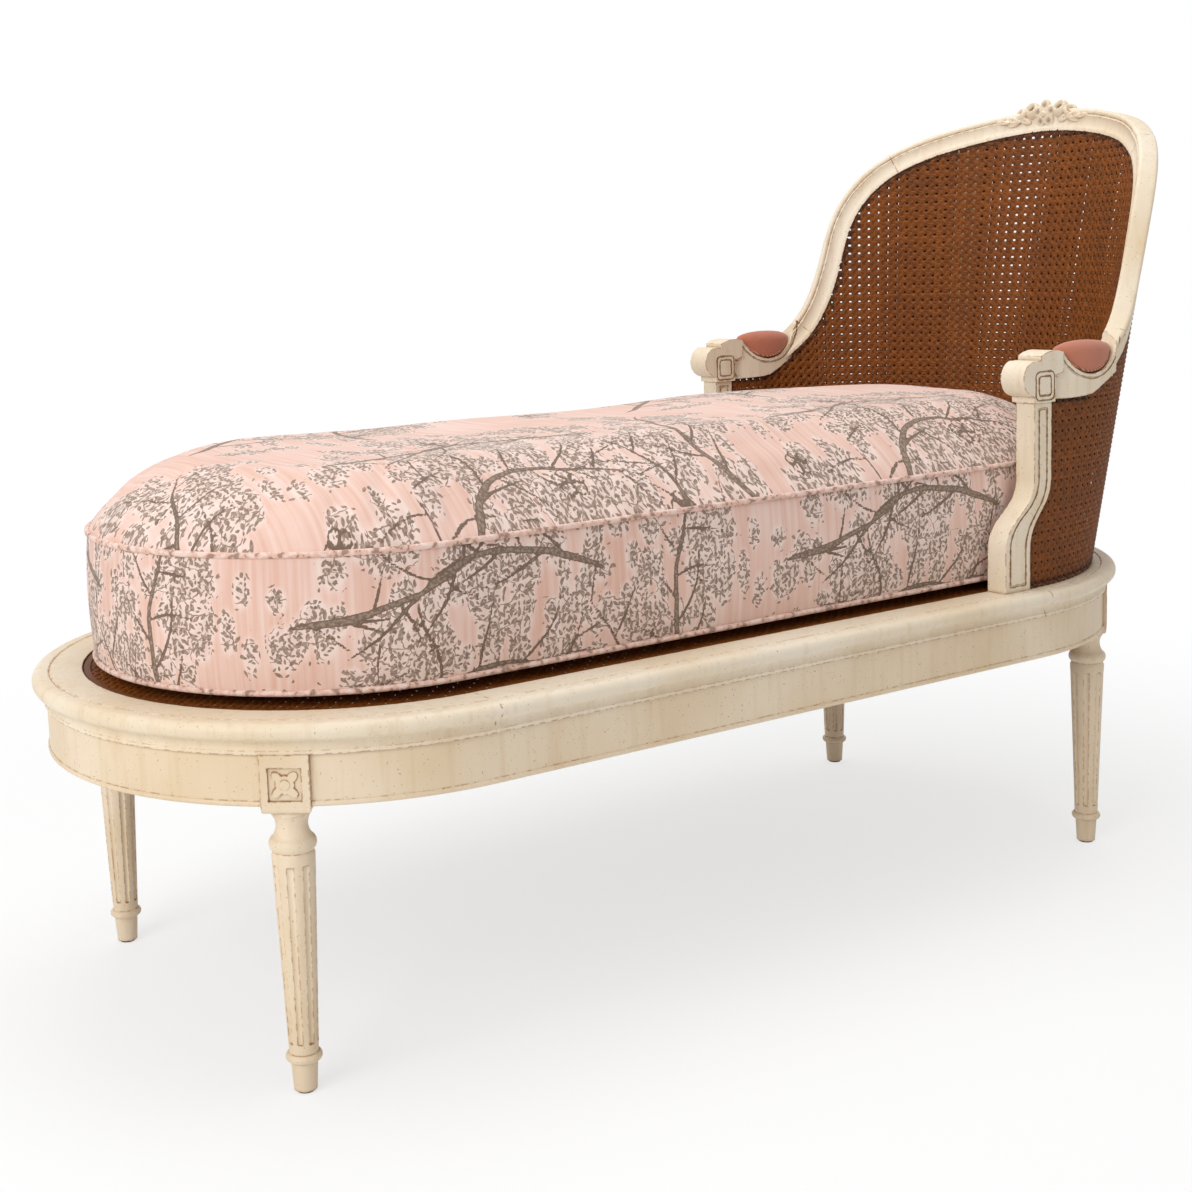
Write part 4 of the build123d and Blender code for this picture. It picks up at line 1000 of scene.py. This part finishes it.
# The braid runs 3 mm above where the cover goes down behind the wood, found from each side
def braid_path(pad, arm):
    cover, wood = surface_of(pad.data), surface_of(arm.data)
    low, high = [Vector([edge(v.co[axis] for v in pad.data.vertices) for axis in range(3)])
                 for edge in (min, max)]
    middle_y = (low.y + high.y) / 2
    path = []
    for face in (1, -1):
        line = []
        for index in range(braid_points + 1):
            x = low.x + (high.x - low.x) * (0.05 + 0.9 * index / braid_points)
            seen = []
            for step in range(braid_levels):
                origin = Vector((x, middle_y + face * braid_side, high.z - step * braid_look))
                inward = Vector((0, -face, 0))
                on_cover, on_wood = [tree.ray_cast(origin, inward)[0] for tree in (cover, wood)]
                if on_cover and (on_wood is None or (on_cover.y - on_wood.y) * face > 0):
                    seen.append(on_cover)
                elif seen:
                    break
            if seen:
                line.append(seen[-min(braid_rise, len(seen))])
        end_x = high.x - braid_end if face > 0 else low.x + braid_end
        above = Vector((end_x, middle_y, over_all))
        over = [tree.ray_cast(above, Vector((0, 0, -1)))[0] for tree in (cover, wood)]
        end = max((point for point in over if point), key=lambda point: point.z)
        path += (line if face > 0 else line[::-1]) + [end]
    return path


terracotta = pad_cloth()
gimp = twisted_gimp()
for side in ("left", "right"):
    pad = add_object(f"pad_cover_{side}", nodes[f"arm_pad_{side}"].data.copy())
    bpy.context.view_layer.objects.active = pad
    pad.select_set(True)
    skin_and_rub(pad, pad_cell, pad_strokes)
    for vertex in pad.data.vertices:
        vertex.co += vertex.normal * pad_swell * max(0.0, vertex.normal.z)
    smooth_faces(pad)
    dress(pad, terracotta)
    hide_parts(f"arm_pad_{side}")
    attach(pad, "frame")
    border = braid_path(pad, nodes[f"arm_{side}"])
    braid = closed_cord(f"pad_braid_{side}", border, braid_radius, smoothness=3)
    dress(braid, gimp)
    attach(braid, "frame")

# A plain pale studio: a floor of white paper that keeps the soft shadow and turns to white
# away from the piece, an even white room, and two large soft lamps above.
floor_half = 8
paper_fibres = 3.0  # to the metre: 330 mm wide
shadow_keep, shadow_near, shadow_far = 0.68, 0.7, 1.9
ambient = 0.45


# The rays that meet plain white: those from the camera, off a gloss or through glass
def seen_rays(tree):
    rays = add_node(tree, "ShaderNodeLightPath", {})
    seen = add_node(tree, "ShaderNodeMath", {0: rays.outputs["Is Camera Ray"],
                                             1: rays.outputs["Is Glossy Ray"]}, operation="MAXIMUM")
    return add_node(tree, "ShaderNodeMath", {0: seen, 1: rays.outputs["Is Transmission Ray"]},
                    operation="MAXIMUM")


corners = [(-floor_half, -floor_half, 0), (floor_half, -floor_half, 0), (floor_half, floor_half, 0),
           (-floor_half, floor_half, 0)]
floor_mesh = bpy.data.meshes.new("floor")
floor_mesh.from_pydata(corners, [], [(0, 1, 2, 3)])
floor = add_object("floor", floor_mesh)
material, tree, shader, place = new_material("white_paper_floor")
fibres = add_node(tree, "ShaderNodeTexNoise", {"Vector": place, "Scale": paper_fibres})
feed(tree, shader, {"Base Color": coat(tree, linear("FAFAFA"), "FDFDFD", fibres), "Roughness": 0.9})
away = add_node(tree, "ShaderNodeVectorMath", {0: place}, operation="LENGTH").outputs["Value"]
fade = add_node(tree, "ShaderNodeMapRange", {"Value": away, "From Min": shadow_near, "From Max": shadow_far,
                                             "To Min": shadow_keep}, interpolation_type="SMOOTHSTEP")
seen = add_node(tree, "ShaderNodeMath", {0: seen_rays(tree), 1: fade}, operation="MULTIPLY")
white = add_node(tree, "ShaderNodeEmission", {"Color": (1, 1, 1, 1), "Strength": 1.0})
blend = add_node(tree, "ShaderNodeMixShader", {0: seen, 1: shader, 2: white})
feed(tree, tree.nodes["Material Output"], {"Surface": blend})
dress(floor, material)

world = bpy.data.worlds.new("studio")
world.use_nodes = True
tree = world.node_tree
strength = add_node(tree, "ShaderNodeMath", {0: seen_rays(tree), 1: 1 - ambient, 2: ambient},
                    operation="MULTIPLY_ADD")
feed(tree, tree.nodes["Background"], {"Strength": strength, "Color": (1, 1, 1, 1)})
scene.world = world


def lamp(name, place, target, size, power):
    data = bpy.data.lights.new(name, "AREA")
    data.shape = "SQUARE"
    data.size = size
    data.energy = power
    light = add_object(name, data)
    light.location = place
    light.rotation_euler = (Vector(target) - Vector(place)).to_track_quat("-Z", "Y").to_euler()


lamp("key", place=(-3.4, -1.2, 2.3), target=(0, 0, 0.5), size=2.2, power=69)
lamp("top", place=(0.1, 0.2, 3.2), target=(0, 0, 0.4), size=2.5, power=46)
scene.view_settings.view_transform = "Standard"
